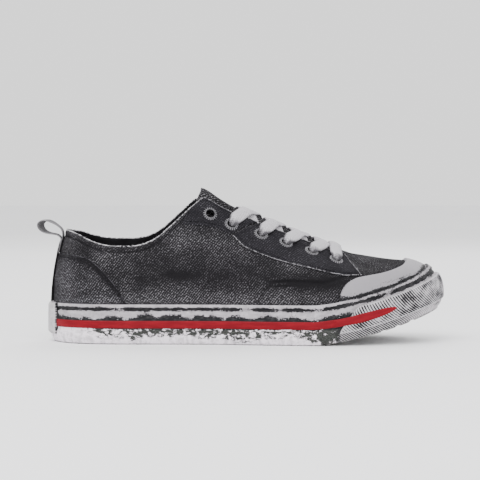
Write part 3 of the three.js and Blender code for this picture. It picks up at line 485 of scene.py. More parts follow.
def gridFaces(rows, columns, offset=0, flip=False, closed=False):
    i = np.arange(rows if closed else rows - 1)
    j = np.arange(columns - 1)
    a = (i[:, None] * columns + j[None, :]).ravel() + offset
    b = (((i + 1) % rows)[:, None] * columns + j[None, :]).ravel() + offset
    quads = np.stack([a, b, b + 1, a + 1], -1)
    return quads[:, ::-1] if flip else quads


def wallFaces(first, second, flip=False):
    # a strip of quads between two lines of point numbers
    quads = np.stack([first[:-1], second[:-1], second[1:], first[1:]], -1)
    return quads[:, ::-1] if flip else quads


def facesOutward(points, faces):
    p = np.asarray(points, float).reshape(-1, 3)
    p = p - p.mean(axis=0)
    a, b, c, d = (p[faces[:, k]] for k in range(4))
    volume = np.einsum("ij,ij->i", a, np.cross(b, c)).sum() + np.einsum("ij,ij->i", a, np.cross(c, d)).sum()
    return volume > 0


def sheetMesh(name, material, outer, inner, uv, fields, sharpAngle=60):
    # a closed sheet between two grids of the same size
    rows, columns = outer.shape[:2]
    count = rows * columns
    grid = np.arange(count).reshape(rows, columns)
    faces = np.concatenate([
        gridFaces(rows, columns),
        gridFaces(rows, columns, count, flip=True),
        wallFaces(grid[:, 0], grid[:, 0] + count, flip=True),
        wallFaces(grid[:, -1], grid[:, -1] + count),
        wallFaces(grid[0], grid[0] + count),
        wallFaces(grid[-1], grid[-1] + count, flip=True),
    ])
    points = np.concatenate([outer.reshape(-1, 3), inner.reshape(-1, 3)])
    if not facesOutward(points, faces):
        faces = faces[:, ::-1]
    both = {k: np.tile(np.broadcast_to(v, (rows, columns)).ravel(), 2) for k, v in fields.items()}
    return makeMesh(name, [material], points, faces, np.tile(uv.reshape(-1, 2), (2, 1)), both, sharpAngle)


def tubeQuads(rows, corners, closed):
    # quads round a closed profile, along its stations
    i = np.arange(rows if closed else rows - 1)[:, None]
    j = np.arange(corners)[None, :]
    onward, beside = (i + 1) % rows * corners, (j + 1) % corners
    return np.stack([i * corners + j, onward + j, onward + beside, i * corners + beside], -1).reshape(-1, 4)


def ringMesh(name, materials, profiles, uv, fields, sharpAngle):
    # a closed ring: profiles is [place round it, corner of the closed profile, xyz]
    faces = tubeQuads(*profiles.shape[:2], True)
    if not facesOutward(profiles, faces):
        faces = faces[:, ::-1]
    return makeMesh(name, materials, profiles, faces, uv, fields, sharpAngle)


def barMesh(name, material, bars, uvs, fields, sharpAngle):
    # bars with a closed profile and flat ends; bars is a list of [station, corner, xyz]
    faces, base = [], 0
    for bar in bars:
        rows, corners = bar.shape[:2]
        k = np.arange(corners // 2 - 1)
        cap = np.stack([k, k + 1, corners - 2 - k, corners - 1 - k], -1)
        quads = np.concatenate([tubeQuads(rows, corners, False), cap, (cap + (rows - 1) * corners)[:, ::-1]])
        faces.append((quads if facesOutward(bar, quads) else quads[:, ::-1]) + base)
        base += rows * corners
    marks = {k: np.concatenate([np.broadcast_to(f[k], bar.shape[:2]).ravel() for f, bar in zip(fields, bars)])
             for k in fields[0]}
    points = np.concatenate([bar.reshape(-1, 3) for bar in bars])
    places = np.concatenate([uv.reshape(-1, 2) for uv in uvs])
    return makeMesh(name, [material], points, np.concatenate(faces), places, marks, sharpAngle)


def lengthToTop(points):
    # length from each point of a grid along its row to the last one
    steps = np.linalg.norm(np.diff(points, axis=1), axis=-1)[:, ::-1]
    return np.concatenate([np.cumsum(steps, axis=1)[:, ::-1], np.zeros((len(points), 1))], axis=1)


def arcLength(line):
    return np.concatenate([[0], np.cumsum(np.linalg.norm(np.diff(line, axis=0), axis=-1))])


def softCurve(points, count):
    # centripetal curve through points, evenly sampled
    p = np.asarray(points, float)
    p = np.concatenate([[2 * p[0] - p[1]], p, [2 * p[-1] - p[-2]]])
    out = []
    for k in range(1, len(p) - 2):
        p0, p1, p2, p3 = p[k - 1:k + 3]
        d0, d1, d2 = (max(np.linalg.norm(b - a) ** 0.5, 1e-4) for a, b in ((p0, p1), (p1, p2), (p2, p3)))
        m1 = ((p1 - p0) / d0 - (p2 - p0) / (d0 + d1) + (p2 - p1) / d1) * d1
        m2 = ((p2 - p1) / d1 - (p3 - p1) / (d1 + d2) + (p3 - p2) / d2) * d1
        t = np.linspace(0, 1, 24, endpoint=False)[:, None]
        bent = (3 * p2 - 3 * p1 - 2 * m1 - m2) * t ** 2 + (2 * p1 - 2 * p2 + m1 + m2) * t ** 3
        out.append(p1 + m1 * t + bent)
    line = np.concatenate(out + [p[-2:-1]])
    length = arcLength(line)
    even = np.linspace(0, length[-1], count)
    return np.stack([np.interp(even, length, line[:, k]) for k in range(3)], -1)


# Nodes. For each kind: Blender's name, the sockets that its values go to in order, the output in use,
# and fixed settings. Any kind that isn't listed is an operation of the maths node.
nodeKinds = {
    "ramp": ("ShaderNodeMapRange", ("Value", "From Min", "From Max", "To Min", "To Max"), "Result",
             {"interpolation_type": "SMOOTHSTEP"}),
    "blend": ("ShaderNodeMix", (0, 6, 7), 2, {"data_type": "RGBA"}),
    "noise": ("ShaderNodeTexNoise", ("Vector", "Detail", "Roughness", "Scale"), "Fac", {}),
    "wobble": ("ShaderNodeTexNoise", ("Vector", "W", "Scale", "Detail"), "Color", {"noise_dimensions": "4D"}),
    "mapping": ("ShaderNodeMapping", ("Vector", "Scale", "Location"), 0, {}),
    "bump": ("ShaderNodeBump", ("Height", "Distance", "Strength"), 0, {}),
    "field": ("ShaderNodeAttribute", (), "Fac", {}),
    "cloth": ("ShaderNodeUVMap", (), 0, {"uv_map": "cloth"}),
    "object": ("ShaderNodeTexCoord", (), "Object", {}),
    "split": ("ShaderNodeSeparateXYZ", (0,), 0, {}),
    "joined": ("ShaderNodeCombineXYZ", (0, 1, 2), 0, {}),
    "dot": ("ShaderNodeVectorMath", (0, 1), "Value", {"operation": "DOT_PRODUCT"}),
    "less": ("ShaderNodeVectorMath", (0, 1), 0, {"operation": "SUBTRACT"}),
    "scaled": ("ShaderNodeVectorMath", (0, "Scale"), 0, {"operation": "SCALE"}),
    "curve": ("GeometryNodeMeshToCurve", ("Mesh",), 0, {}),
    "points": ("GeometryNodeMeshToPoints", ("Mesh",), 0, {}),
    "spaced": ("GeometryNodeResampleCurve", ("Curve", "Length"), 0, {"mode": "LENGTH"}),
    "vector": ("GeometryNodeInputNamedAttribute", ("Name",), "Attribute", {"data_type": "FLOAT_VECTOR"}),
    "tangent": ("GeometryNodeInputTangent", (), 0, {}),
    "position": ("GeometryNodeInputPosition", (), 0, {}),
    "facing": ("FunctionNodeAlignEulerToVector", ("Vector",), 0, {}),
    "thing": ("GeometryNodeObjectInfo", ("Object",), "Geometry", {}),
    "ball": ("GeometryNodeMeshUVSphere", ("Segments", "Rings", "Radius"), "Mesh", {}),
    "spike": ("GeometryNodeMeshCone", ("Vertices", "Radius Top", "Radius Bottom", "Depth"), "Mesh", {}),
    "circle": ("GeometryNodeCurvePrimitiveCircle", ("Resolution", "Radius"), 0, {}),
    "tube": ("GeometryNodeCurveToMesh", ("Curve", "Profile Curve", "Fill Caps"), 0, {}),
    "moved": ("GeometryNodeSetPosition", ("Geometry", "Offset"), 0, {}),
    "anyNumber": ("FunctionNodeRandomValue", (2, 3, "Seed"), 1, {"data_type": "FLOAT"}),
    "anyVector": ("FunctionNodeRandomValue", (0, 1, "Seed"), 0, {"data_type": "FLOAT_VECTOR"}),
    "copies": ("GeometryNodeInstanceOnPoints", ("Points", "Instance", "Rotation", "Scale"), 0, {}),
    "real": ("GeometryNodeRealizeInstances", ("Geometry",), 0, {}),
    "painted": ("GeometryNodeSetMaterial", ("Geometry", "Material"), 0, {}),
}


def linear(hexColour):
    parts = [int(hexColour[k:k + 2], 16) / 255 for k in (1, 3, 5)]
    return tuple(c / 12.92 if c <= 0.04045 else ((c + 0.055) / 1.055) ** 2.4 for c in parts) + (1.0,)


def add(tree, kind, *values, **settings):
    # a node with its settings, and its values, hex colours or links; gives back the output in use
    name, sockets, output, fixed = nodeKinds.get(kind, ("ShaderNodeMath", (0, 1, 2), 0, {"operation": kind}))
    node = tree.nodes.new(name)
    for key, value in {**fixed, **settings}.items():
        setattr(node, key, value)
    for socket, value in zip(sockets, values):
        if isinstance(value, bpy.types.NodeSocket):
            tree.links.new(value, node.inputs[socket])
        else:
            isColour = isinstance(value, str) and value.startswith("#")
            node.inputs[socket].default_value = linear(value) if isColour else value
    return node.outputs[output]


def newTree(name, sockets):
    tree = bpy.data.node_groups.new(name, "GeometryNodeTree")
    tree.interface.new_socket("Geometry", in_out="INPUT", socket_type="NodeSocketGeometry")
    tree.interface.new_socket("Geometry", in_out="OUTPUT", socket_type="NodeSocketGeometry")
    for label, kind, value in sockets:
        socket = tree.interface.new_socket(label, in_out="INPUT", socket_type="NodeSocket" + kind)
        if value is not None:
            socket.default_value = value
    return partial(add, tree), tree.nodes.new("NodeGroupInput").outputs


def endTree(shape, given):
    tree = shape.id_data
    result = tree.nodes.new("NodeGroupOutput").inputs
    tree.links.new(add(tree, "painted", add(tree, "real", shape), given["Material"]), result["Geometry"])
    return tree


def runTree(name, tree, source, values):
    modifier = source.modifiers.new("build", "NODES")
    modifier.node_group = tree
    for item in tree.interface.items_tree:
        if item.item_type == "SOCKET" and item.in_out == "INPUT" and item.name in values:
            modifier[item.identifier] = values[item.name]
    evaluated = source.evaluated_get(bpy.context.evaluated_depsgraph_get())
    mesh = bpy.data.meshes.new_from_object(evaluated)
    source.modifiers.clear()
    bpy.data.objects.remove(source)
    thing = bpy.data.objects.new(name, mesh)
    bpy.context.collection.objects.link(thing)
    mesh.shade_smooth()
    return thing


def lineObject(name, lines, normals=None):
    # loose edge lines, in mm, for a tree to follow
    points, edges, base = [], [], 0
    for line in lines:
        points.append(line)
        edges += [(base + k, base + k + 1) for k in range(len(line) - 1)]
        base += len(line)
    where = (np.concatenate(points) - np.array(shoe["origin"])) / 1000
    mesh = bpy.data.meshes.new(name)
    mesh.from_pydata(where.tolist(), edges, [])
    if normals is not None:
        attribute = mesh.attributes.new("lean", "FLOAT_VECTOR", "POINT")
        attribute.data.foreach_set("vector", np.concatenate(normals).ravel())
    thing = bpy.data.objects.new(name, mesh)
    bpy.context.collection.objects.link(thing)
    return thing


def newMaterial(name, roughness, specular=0.5, sheen=0.0, metallic=0.0):
    material = bpy.data.materials.new(name)
    material.use_nodes = True
    shader = material.node_tree.nodes["Principled BSDF"]
    for key, value in (("Roughness", roughness), ("Specular IOR Level", specular), ("Sheen Weight", sheen),
                       ("Metallic", metallic)):
        shader.inputs[key].default_value = value
    return material, partial(add, material.node_tree)


def finished(material, colour, relief=None, depth=0.0, strength=1.0):
    tree = material.node_tree
    shader = tree.nodes["Principled BSDF"]
    tree.links.new(colour, shader.inputs["Base Color"])
    if relief is not None:
        tree.links.new(add(tree, "bump", relief, depth, strength), shader.inputs["Normal"])
    return material


def noise(node, where, scale, detail=2.0, roughness=0.5, offset=(0, 0, 0)):
    # scale is a number or three numbers, in waves for each unit of the coordinates
    scales = (scale,) * 3 if isinstance(scale, (int, float)) else scale
    return node("noise", node("mapping", where, scales, offset), detail, roughness, 1.0)


def stripes(node, where, direction, pitch, phase=None):
    # -1 to 1 waves across a direction of the cloth coordinates
    k = 2 * math.pi / pitch
    dot = node("dot", where, (direction[0] * k, direction[1] * k, 0))
    return node("SINE", dot if phase is None else node("ADD", dot, phase))


def twillMaterial(name, dark, light, tone=0.0):
    # washed twill: pale specks along diagonal ribs, more of them where the cloth was rubbed
    material, node = newMaterial(name, 0.95, 0.05)
    cloth = node("cloth")
    waver = node("MULTIPLY", noise(node, cloth, 0.12, 2), 6.0)
    ribs = stripes(node, cloth, (0.78, -0.62), 1.56, waver)
    picks = stripes(node, cloth, (0.5, 0.87), 1.75, waver)
    pepper = noise(node, cloth, 0.85, 1, 0.7)
    threads = noise(node, cloth, (0.45, 1.3, 1), 2, 0.6, (3, 7, 0))
    clouds = noise(node, cloth, 0.055, 4, 0.6, (11, 2, 0))
    # the fade field: faded and darker patches of the cloth, with painted shade in its creases, folds and
    # stitched grooves
    fade = node("MULTIPLY_ADD", node("SUBTRACT", clouds, 0.5), 1.35, node("field", attribute_name="fade"))
    lattice = node("MULTIPLY_ADD", picks, 0.5, ribs)
    dots = node("ramp", node("ADD", lattice, node("MULTIPLY_ADD", pepper, 7.6, -3.8)), -0.1, 2.0)
    rubs = node("ramp", noise(node, cloth, 0.5, 3, 0.75, (1, 5, 0)), 0.36, 0.64, 0.55, 1.5)
    cover = node("MULTIPLY_ADD", fade, 0.85, 0.36, use_clamp=True)
    grain = node("MULTIPLY", node("MULTIPLY", dots, rubs), cover)
    streak = node("MULTIPLY_ADD", threads, 0.16, -0.08)
    level = node("ADD", grain, node("ADD", streak, node("MULTIPLY_ADD", fade, 0.08, tone)))
    colour = node("blend", node("ADD", level, 0.0, use_clamp=True), dark, light)
    return finished(material, colour, node("MULTIPLY_ADD", ribs, 0.3, dots), 0.0004, 0.6)


print("scene: last and helpers ready")

# Cloth of the upper
canvasCloth = twillMaterial("washed black twill", "#1b1a1c", "#777579")
facingCloth = twillMaterial("facing twill", "#19181b", "#58565b", 0.05)
counterCloth = twillMaterial("counter twill", "#1b1a1c", "#7b797e")
tongueCloth = twillMaterial("tongue twill", "#131214", "#8b898d", 0.02)


def liningMaterial():
    # plain woven cotton lining: dark, matt and patchy from wear
    material, node = newMaterial("cotton lining", 0.9, 0.05)
    cloth = node("cloth")
    across = stripes(node, cloth, (1, 0), 0.9)
    down = stripes(node, cloth, (0, 1), 0.9)
    weave = node("MULTIPLY", across, down)
    patches = noise(node, cloth, 0.06, 3)
    faded = node("ramp", patches, 0.3, 0.75, 0.15, 0.6)
    level = node("ADD", node("MULTIPLY", weave, 0.12), faded, use_clamp=True)
    return finished(material, node("blend", level, "#0c0b0d", "#2b2a2d"), weave, 0.0004, 0.6)


liningCloth = liningMaterial()

upper = {
    "columns": 410,  # round the shoe
    "rows": 112,  # from the sole to the edge
    "wall": 2.0,
    "collarGroove": 4.2,  # stitched groove under the collar's edge
    "collarGrooveDepth": 0.55,
}

# soft patches: along, up, reach along, reach up, strength (+ faded, - dark; the dark ones along the creases
# are painted shade)
fadeAndShadePatches = {
    "lateral": [
        (30, 46, 20, 17, 0.3), (14, 50, 8, 26, 0.25), (45, 62, 10, 8, 0.3), (100, 78, 16, 9, 0.22),
        (132, 74, 18, 9, 0.24), (178, 60, 16, 6, 0.08), (62, 73, 26, 4, -0.15), (95, 51, 20, 4, -0.14),
        (190, 47, 28, 5, -0.26), (166, 40, 7, 8, -0.16), (158, 31, 3, 6, -0.25), (212, 44, 16, 8, -0.3),
        (120, 84, 22, 6, -0.1), (228, 50, 8, 6, -0.2), (242, 62, 18, 8, 0.24),
    ],
    "medial": [
        (32, 46, 24, 16, 0.3), (96, 74, 26, 9, 0.22), (110, 50, 30, 6, -0.15), (186, 46, 30, 6, -0.25),
        (150, 66, 24, 7, -0.1), (70, 80, 20, 5, -0.1), (210, 40, 14, 6, 0.1), (60, 60, 20, 8, 0.12),
    ],
}


# how faded the canvas is here, lighter where positive and darker where negative; the darkening along the
# creases and folds is painted shade
def fadeAndShadeAt(turn, climb):
    turn, climb = together(turn, climb)
    x, y, z = np.moveaxis(lastPoint(turn, climb), -1, 0)
    lateral = turn % 1 < tipTurn
    overFoxing = z - foxingTopAt(x)
    fade = 0.36 * hill(overFoxing - 5.5, 5.5) * smooth(x, 30, 70) * (1 - smooth(x, 205, 225))
    scuffed = smooth(x, 5, 30) * (1 - smooth(x, 165, 195))
    fade += 0.42 * hill(overFoxing - 2.5, 3.2) * scuffed
    belt = np.exp(-((z - 50.3 - 3 * ripple(x, 0 * x, 30, 23)) / 7.5) ** 2) * smooth(x, 12, 36)
    fade -= np.where(lateral, 0.24, 0.12) * belt * (1 - smooth(x, 150, 185))  # darker belt at mid-height
    for side, chosen in (("lateral", lateral), ("medial", ~lateral)):
        for alongPlace, upPlace, alongReach, upReach, strength in fadeAndShadePatches[side]:
            away = ((x - alongPlace) / alongReach) ** 2 + ((z - upPlace) / upReach) ** 2
            fade += np.where(chosen, strength * np.exp(-away), 0)
        fade -= np.where(chosen, foldShadeAt(x, z, side), 0)
    # the crease relief in the tone: darker in the troughs and hollows, painted shade, and lighter on the
    # rubbed crests
    rubbed = np.clip(creaseAt(turn, climb), -1.6, 1.2)
    return fade + 0.12 * rubbed + 0.05 * ripple(x, z + y, 13, 21)


bumperStart = 0.728 * soleLength  # rear ends of the toe cap and the bumper
topFacingStart, facingBack = 0.352 * soleLength, 0.53 * soleLength
holeRadius = 3.9  # rough holes under the eyelets' rims
stitchInset = 2.4  # seams run this far inside an overlay's edge
eyeletPlaces = np.array([0.406, 0.459, 0.533, 0.596, 0.661, 0.724]) * soleLength


def eyeletSpot(index, lateral):
    turn = turnAt(np.array([eyeletPlaces[index]]), lateral)
    climb = walk(turn, climbToRidgeDistance(turn, throatGapAt(eyeletPlaces[index])), -12.5)
    return turn, climb


def buildUpper():
    turns = np.linspace(0, 1, upper["columns"], endpoint=False)
    edge = edgeClimb(turns)
    shares = 1 - (1 - np.linspace(0, 1, upper["rows"])) ** 1.12
    climbs = edge[:, None] * shares[None, :]
    grid = np.broadcast_to(turns[:, None], climbs.shape)
    x = outlineAt(turns)[0][..., 0]
    toEdge = lengthToTop(onUpper(grid, climbs, 0.0))
    free = (x < shoe["throatEnd"])[:, None]
    away = toEdge - upper["collarGroove"]
    sink = -upper["collarGrooveDepth"] * hill(away, 0.9) * free
    sink += -0.5 * hill(toEdge, 0.8) * free
    outer = onUpper(grid, climbs, sink)
    inner = onUpper(grid, climbs, -upper["wall"] + 0.4 * hill(toEdge, 0.8) * free)
    uv = clothPlace(grid, climbs)
    fade = fadeAndShadeAt(grid, climbs)
    # darker in the stitched groove under the collar's edge, painted shade; lighter on the frayed edge itself
    fade += free * (-0.4 * hill(away, 0.8) + 0.3 * hill(toEdge, 1.0))
    rows, columns = climbs.shape
    count = rows * columns
    last = columns - 1
    outerFaces = gridFaces(rows, columns, closed=True)
    innerFaces = gridFaces(rows, columns, count, flip=True, closed=True)
    numbers = np.arange(count).reshape(rows, columns)
    loop = np.concatenate([np.arange(rows), [0]])
    openPart = x < shoe["throatEnd"] + 0.3
    openQuads = openPart | np.roll(openPart, -1)
    bottom = wallFaces(numbers[loop, 0], numbers[loop, 0] + count)
    top = wallFaces(numbers[loop, last], numbers[loop, last] + count, flip=True)[openQuads]
    faces = np.concatenate([outerFaces, innerFaces, bottom, top])
    patches = np.concatenate([np.zeros(len(outerFaces)), np.ones(len(innerFaces)), np.ones(len(bottom)),
                              np.zeros(len(top))]).astype(int)
    points = np.concatenate([outer.reshape(-1, 3), inner.reshape(-1, 3)])
    keep = np.ones(len(faces), bool)  # punched eyelet holes, hidden under the rims
    centres = points[faces].mean(axis=1)
    for lateral in (True, False):
        for index in range(len(eyeletPlaces)):
            turn, climb = eyeletSpot(index, lateral)
            spot = lastPoint(turn, climb)[0]
            axis = lastNormal(turn, climb)[0]
            off = centres - spot
            along = off @ axis
            fromAxis = np.linalg.norm(off - along[:, None] * axis, axis=1)
            keep &= ~((fromAxis < holeRadius) & (np.abs(along) < 7))
    return makeMesh("upper_canvas", [canvasCloth, liningCloth], points, faces[keep],
                    np.tile(uv.reshape(-1, 2), (2, 1)), {"fade": np.tile(fade.ravel(), 2)}, 55, patches[keep])


upperCanvas = buildUpper()
print("scene: upper", len(upperCanvas.data.polygons))


# Overlays sewn on the upper

overlays = {
    "inside": 0.15,  # the cloth lies on the upper
    "outside": 1.35,
    "edge": 0.8,  # width of the turned-down edge
    "toeCapOutside": 2.05,
    "toeCapBand": 17.5,
    "counterHeight": 67.0,
    "counterReach": 61.0,
}

facingSeam = np.array([
    [0.4635, 0.672], [0.495, 0.6], [0.547, 0.545], [0.59, 0.51], [0.647, 0.472], [0.704, 0.443],
    [0.747, 0.424], [0.785, 0.418],
]) * [soleLength, shoe["instepHeight"]]
facingSeamHeightAt = through(facingSeam.tolist())
topSeamHeightAt = through(
    [(0.34, 0.742), (0.38, 0.738), (0.42, 0.722), (0.459, 0.682)], soleLength, shoe["instepHeight"])


def edgeSpot(x, lateral):
    turn = turnAt(x, lateral)
    return turn, walk(turn, edgeClimb(turn), -0.5)


def overlayGrid(lower, higher, rows):
    shares = toEnds(rows)[None, :]
    turns = mix(lower[0][:, None], higher[0][:, None], shares)
    climbs = mix(lower[1][:, None], higher[1][:, None], shares)
    return turns, climbs


def edgeDistance(points):
    # distance of each grid point from the grid's own border: along it, up it, and the smaller one
    def away(p, axis):
        steps = np.linalg.norm(np.diff(p, axis=axis, prepend=np.take(p, [0], axis)), axis=-1)
        total = np.cumsum(steps, axis=axis)
        return np.minimum(total, np.take(total, [-1], axis) - total)
    along, up = away(points, 0), away(points, 1)
    return along, up, np.minimum(along, up)


def holesIn(thing, lateral, indexes):
    # punched holes whose rough edge the rims cover
    editor = bmesh.new()
    editor.from_mesh(thing.data)
    origin = np.array(shoe["origin"])
    doomed = set()
    for index in indexes:
        turn, climb = eyeletSpot(index, lateral)
        spot = (lastPoint(turn, climb)[0] - origin) / 1000
        axis = lastNormal(turn, climb)[0]
        for face in editor.faces:
            off = np.array(face.calc_center_median()) - spot
            along = off @ axis
            if abs(along) < 0.006 and np.linalg.norm(off - along * axis) < holeRadius / 1000:
                doomed.add(face)
    bmesh.ops.delete(editor, geom=list(doomed), context="FACES")
    editor.to_mesh(thing.data)
    editor.free()


def sewnOverlay(name, lower, higher, rows, material, tone=0.0, seamDark=0.0, pale=0.3, topOnly=False):
    turns, climbs = overlayGrid(lower, higher, rows)
    outside = overlays["outside"]
    flat = onUpper(turns, climbs, outside)
    away = lengthToTop(flat) if topOnly else edgeDistance(flat)[2]
    turned = hill(away, overlays["edge"])
    stitched = hill(away - stitchInset, 0.7)
    outer = onUpper(turns, climbs, outside - 0.75 * (outside - overlays["inside"]) * turned - 0.25 * stitched)
    inner = onUpper(turns, climbs, overlays["inside"])
    # darker along the sunken stitch line, painted shade; the turned edge takes `pale`
    fade = fadeAndShadeAt(turns, climbs) + tone + pale * hill(away, 0.8) - 0.25 * stitched
    fade -= seamDark * hill(away - 2.2, 2.4) * (0.35 + 0.65 * smooth(flat[..., 0], 12, 42))
    return sheetMesh(name, material, outer, inner, clothPlace(turns, climbs), {"fade": fade}, 60)


sewnPieces = []
for sideName, lateral in (("lateral", True), ("medial", False)):
    low = np.linspace(facingSeam[0][0], facingSeam[-1][0], 150)
    high = np.linspace(facingBack, shoe["throatEnd"] - 0.6, 150)
    front = sewnOverlay(f"facing_front_{sideName}_cloth", seenAt(low, facingSeamHeightAt(low), lateral),
                        edgeSpot(high, lateral), 60, facingCloth, -0.08, 0.0, 0.2)
    holesIn(front, lateral, (2, 3, 4, 5))
    low = np.linspace(0.338 * soleLength, facingSeam[0][0] - 1.5, 80)
    high = np.linspace(topFacingStart, facingBack - 1.5, 80)
    top = sewnOverlay(f"facing_top_{sideName}_cloth", seenAt(low, topSeamHeightAt(low), lateral),
                      edgeSpot(high, lateral), 50, facingCloth, -0.1)
    holesIn(top, lateral, (0, 1))
    sewnPieces += [(front, f"facing_front_{sideName}"), (top, f"facing_top_{sideName}")]


def counterLines(count):
    reach = overlays["counterReach"]
    height = overlays["counterHeight"]
    seamAt = through([
        (0, height), (0.42 * reach, 0.955 * height), (0.6 * reach, 0.86 * height),
        (0.78 * reach, 0.7 * height), (0.98 * reach, float(foxingTopAt(reach)) + 1.5),
    ])
    first = turnAt(np.array([0.98 * reach]), False)[0] - 1
    last = turnAt(np.array([0.98 * reach]), True)[0]
    turns = np.linspace(first, last, count)
    x = outlineAt(turns)[0][..., 0]
    return turns, climbToHeight(turns, foxingTopAt(x) - 1.0), climbToHeight(turns, seamAt(x))


counterTurns, counterLow, counterHigh = counterLines(190)
counter = sewnOverlay("counter_cloth", (counterTurns, counterLow), (counterTurns, counterHigh), 54,
                      counterCloth, 0.02, 0.62, -0.1, True)
sewnPieces.append((counter, "counter"))
print("scene: facings and counter")


# rope ribs of the bumper: the way across them on the band, and their spacing, a little coarser than
# real ones so that they show
ribWay, ribPitch = (0.64, 0.77), 1.3


def rubberMaterial(name, paint, under, roughness=0.55, speckle=0.5):
    # painted rubber: off-white paint worn through to dark rubber where `peel` says (on the foxing it also
    # holds a painted shadow under the red stripe), in a flaked web where `web` says, and moulded with rope
    # ribs where `rope` says
    material, node = newMaterial(name, roughness, 0.15)
    band = node("cloth")
    coarse = noise(node, band, (0.2, 0.36, 1), 5, 0.62)
    fine = noise(node, band, (0.8, 1.1, 1), 3, 0.65, (5, 9, 0))
    streak = noise(node, band, (0.35, 0.12, 1), 3, 0.6, (2, 4, 0))
    ragged = node("ADD", node("MULTIPLY_ADD", fine, 1.7, -0.85), node("MULTIPLY_ADD", coarse, 1.5, -0.75))
    worn = node("ramp", node("ADD", ragged, node("field", attribute_name="peel")), 0.47, 0.53)
    flakes = noise(node, band, (0.12, 0.2, 1), 5, 0.7, (9, 1, 0))
    apart = node("ABSOLUTE", node("SUBTRACT", flakes, 0.5))
    web = node("ramp", node("SUBTRACT", node("MULTIPLY", node("field", attribute_name="web"),
               node("ramp", coarse, 0.4, 0.6, 0.03, 0.2)), apart), 0.0, 0.012)
    webTone = node("blend", node("ramp", fine, 0.35, 0.65), "#1f201f", "#464845")
    dirt = node("ramp", node("MULTIPLY", streak, coarse), 0.18, 0.36, 0.0, speckle)
    uneven = node("ramp", flakes, 0.25, 0.75, 1.15, 0.7)
    dull = node("MULTIPLY", node("field", attribute_name="dull"), uneven, use_clamp=True)
    colour = node("blend", dirt, node("blend", dull, paint, "#6a676b"), "#8f8b8e")
    colour = node("blend", web, colour, webTone)
    dark = node("blend", node("ramp", coarse, 0.45, 0.7), under, "#343335")
    colour = node("blend", worn, colour, dark)
    ribs = stripes(node, band, ribWay, ribPitch)
    crests = node("ADD", ribs, node("MULTIPLY_ADD", coarse, 2.6, -1.55))
    ropes = node("blend", node("ramp", crests, -0.45, 0.5), "#19191c", "#bdbabd")
    colour = node("blend", node("field", attribute_name="rope"), colour, ropes)
    gone = node("MAXIMUM", worn, web)
    height = node("SUBTRACT", node("MULTIPLY", fine, 0.2), node("MULTIPLY", gone, 0.6))
    height = node("ADD", height, node("MULTIPLY", ribs, node("field", attribute_name="rope")))
    return finished(material, colour, height, 0.0004, 0.8)


foxingRubber = rubberMaterial("worn white foxing rubber", "#ece5ec", "#151518")
capRubber = rubberMaterial("smooth toe cap rubber", "#8a878c", "#151518", 0.5, 0.35)
patchRubber = rubberMaterial("heel patch rubber", "#c9c6c9", "#18181a")


def buildToeCap():
    turns = mix(turnAt(np.array([bumperStart]), True)[0],
                turnAt(np.array([bumperStart]), False)[0], toEnds(260))
    x = outlineAt(turns)[0][..., 0]
    share = np.clip((x - bumperStart) / (0.06 * soleLength), 0.012, 1)
    band = overlays["toeCapBand"] * np.sqrt(1 - (1 - share) ** 2)
    low = walk(turns, climbToHeight(turns, foxingTopAt(x)), 0.3)
    high = walk(turns, low, band)
    gridTurns, climbs = overlayGrid((turns, low), (turns, high), 44)
    outside = overlays["toeCapOutside"]
    flat = onUpper(gridTurns, climbs, outside)
    upAway, fromTop = edgeDistance(flat)[1], lengthToTop(flat)
    thin = 1.5 * hill(fromTop, 1.3) + 0.5 * hill(upAway, 1.0)
    outer = onUpper(gridTurns, climbs, np.maximum(outside - thin, 0.45))
    inner = onUpper(gridTurns, climbs, 0.15)
    arc = arcLength(flat[:, 0])[:, None] + 0 * climbs
    up = np.cumsum(np.linalg.norm(np.diff(flat, axis=1, prepend=flat[:, :1]), axis=-1), axis=1)
    lowLine = hill(up - 0.8, 1.5) * (0.95 + 0.3 * ripple(arc, 0 * arc, 30, 4))
    lowLine += 0.3 * hill(up - 3.2, 2.0) * (1 + ripple(arc, 0 * arc, 17, 6))
    forward = x[:, None]
    lowLine += 0.42 * np.exp(-((up - 5.4) / 1.8) ** 2 - ((forward - 258) / 15) ** 2)
    nicks = hill(fromTop, 1.3) * np.clip(ripple(arc, 0 * arc, 11, 9), 0, 1)
    peel = lowLine + 0.5 * hill(fromTop, 0.7) + 0.75 * nicks * hill(forward - 234, 13) - 0.08
    dull = 0.12 * hill(forward - 262, 22)
    return sheetMesh("toe_cap_rubber", capRubber, outer, inner, np.stack([arc, up], -1),
                     {"peel": peel, "web": 0, "rope": 0, "dull": dull}, 60)


toeCap = buildToeCap()

sole = {
    "turns": 620,
    "foxingLift": 0.6,
    "edgeRound": 6.0,
    "ribHeight": 3.1,
    "ribProud": 0.5,
    "grooveHeight": 2.2,
    "grooveDepth": 0.7,
    "stripeHeight": 5.6,
    "stripeLift": 12.2,
    "stripeWall": 0.6,
    "bumperWall": 1.4,
    "bumperDrop": 6.0,
    "bumperRibDepth": 0.34,
    "heelPatchWidth": 34.0,
    "heelPatchWall": 1.4,
    "treadPitch": 11.0,
    "treadGroove": 3.0,
    "treadDepth": 1.4,
    "laid": 0.12,  # strips lie this close on the foxing
}

heelPatchTurn = float(rootOf(
    lambda turn: -outlineAt(turn)[0][..., 1] - sole["heelPatchWidth"] / 2, 0.0, 0.25 * tipTurn))

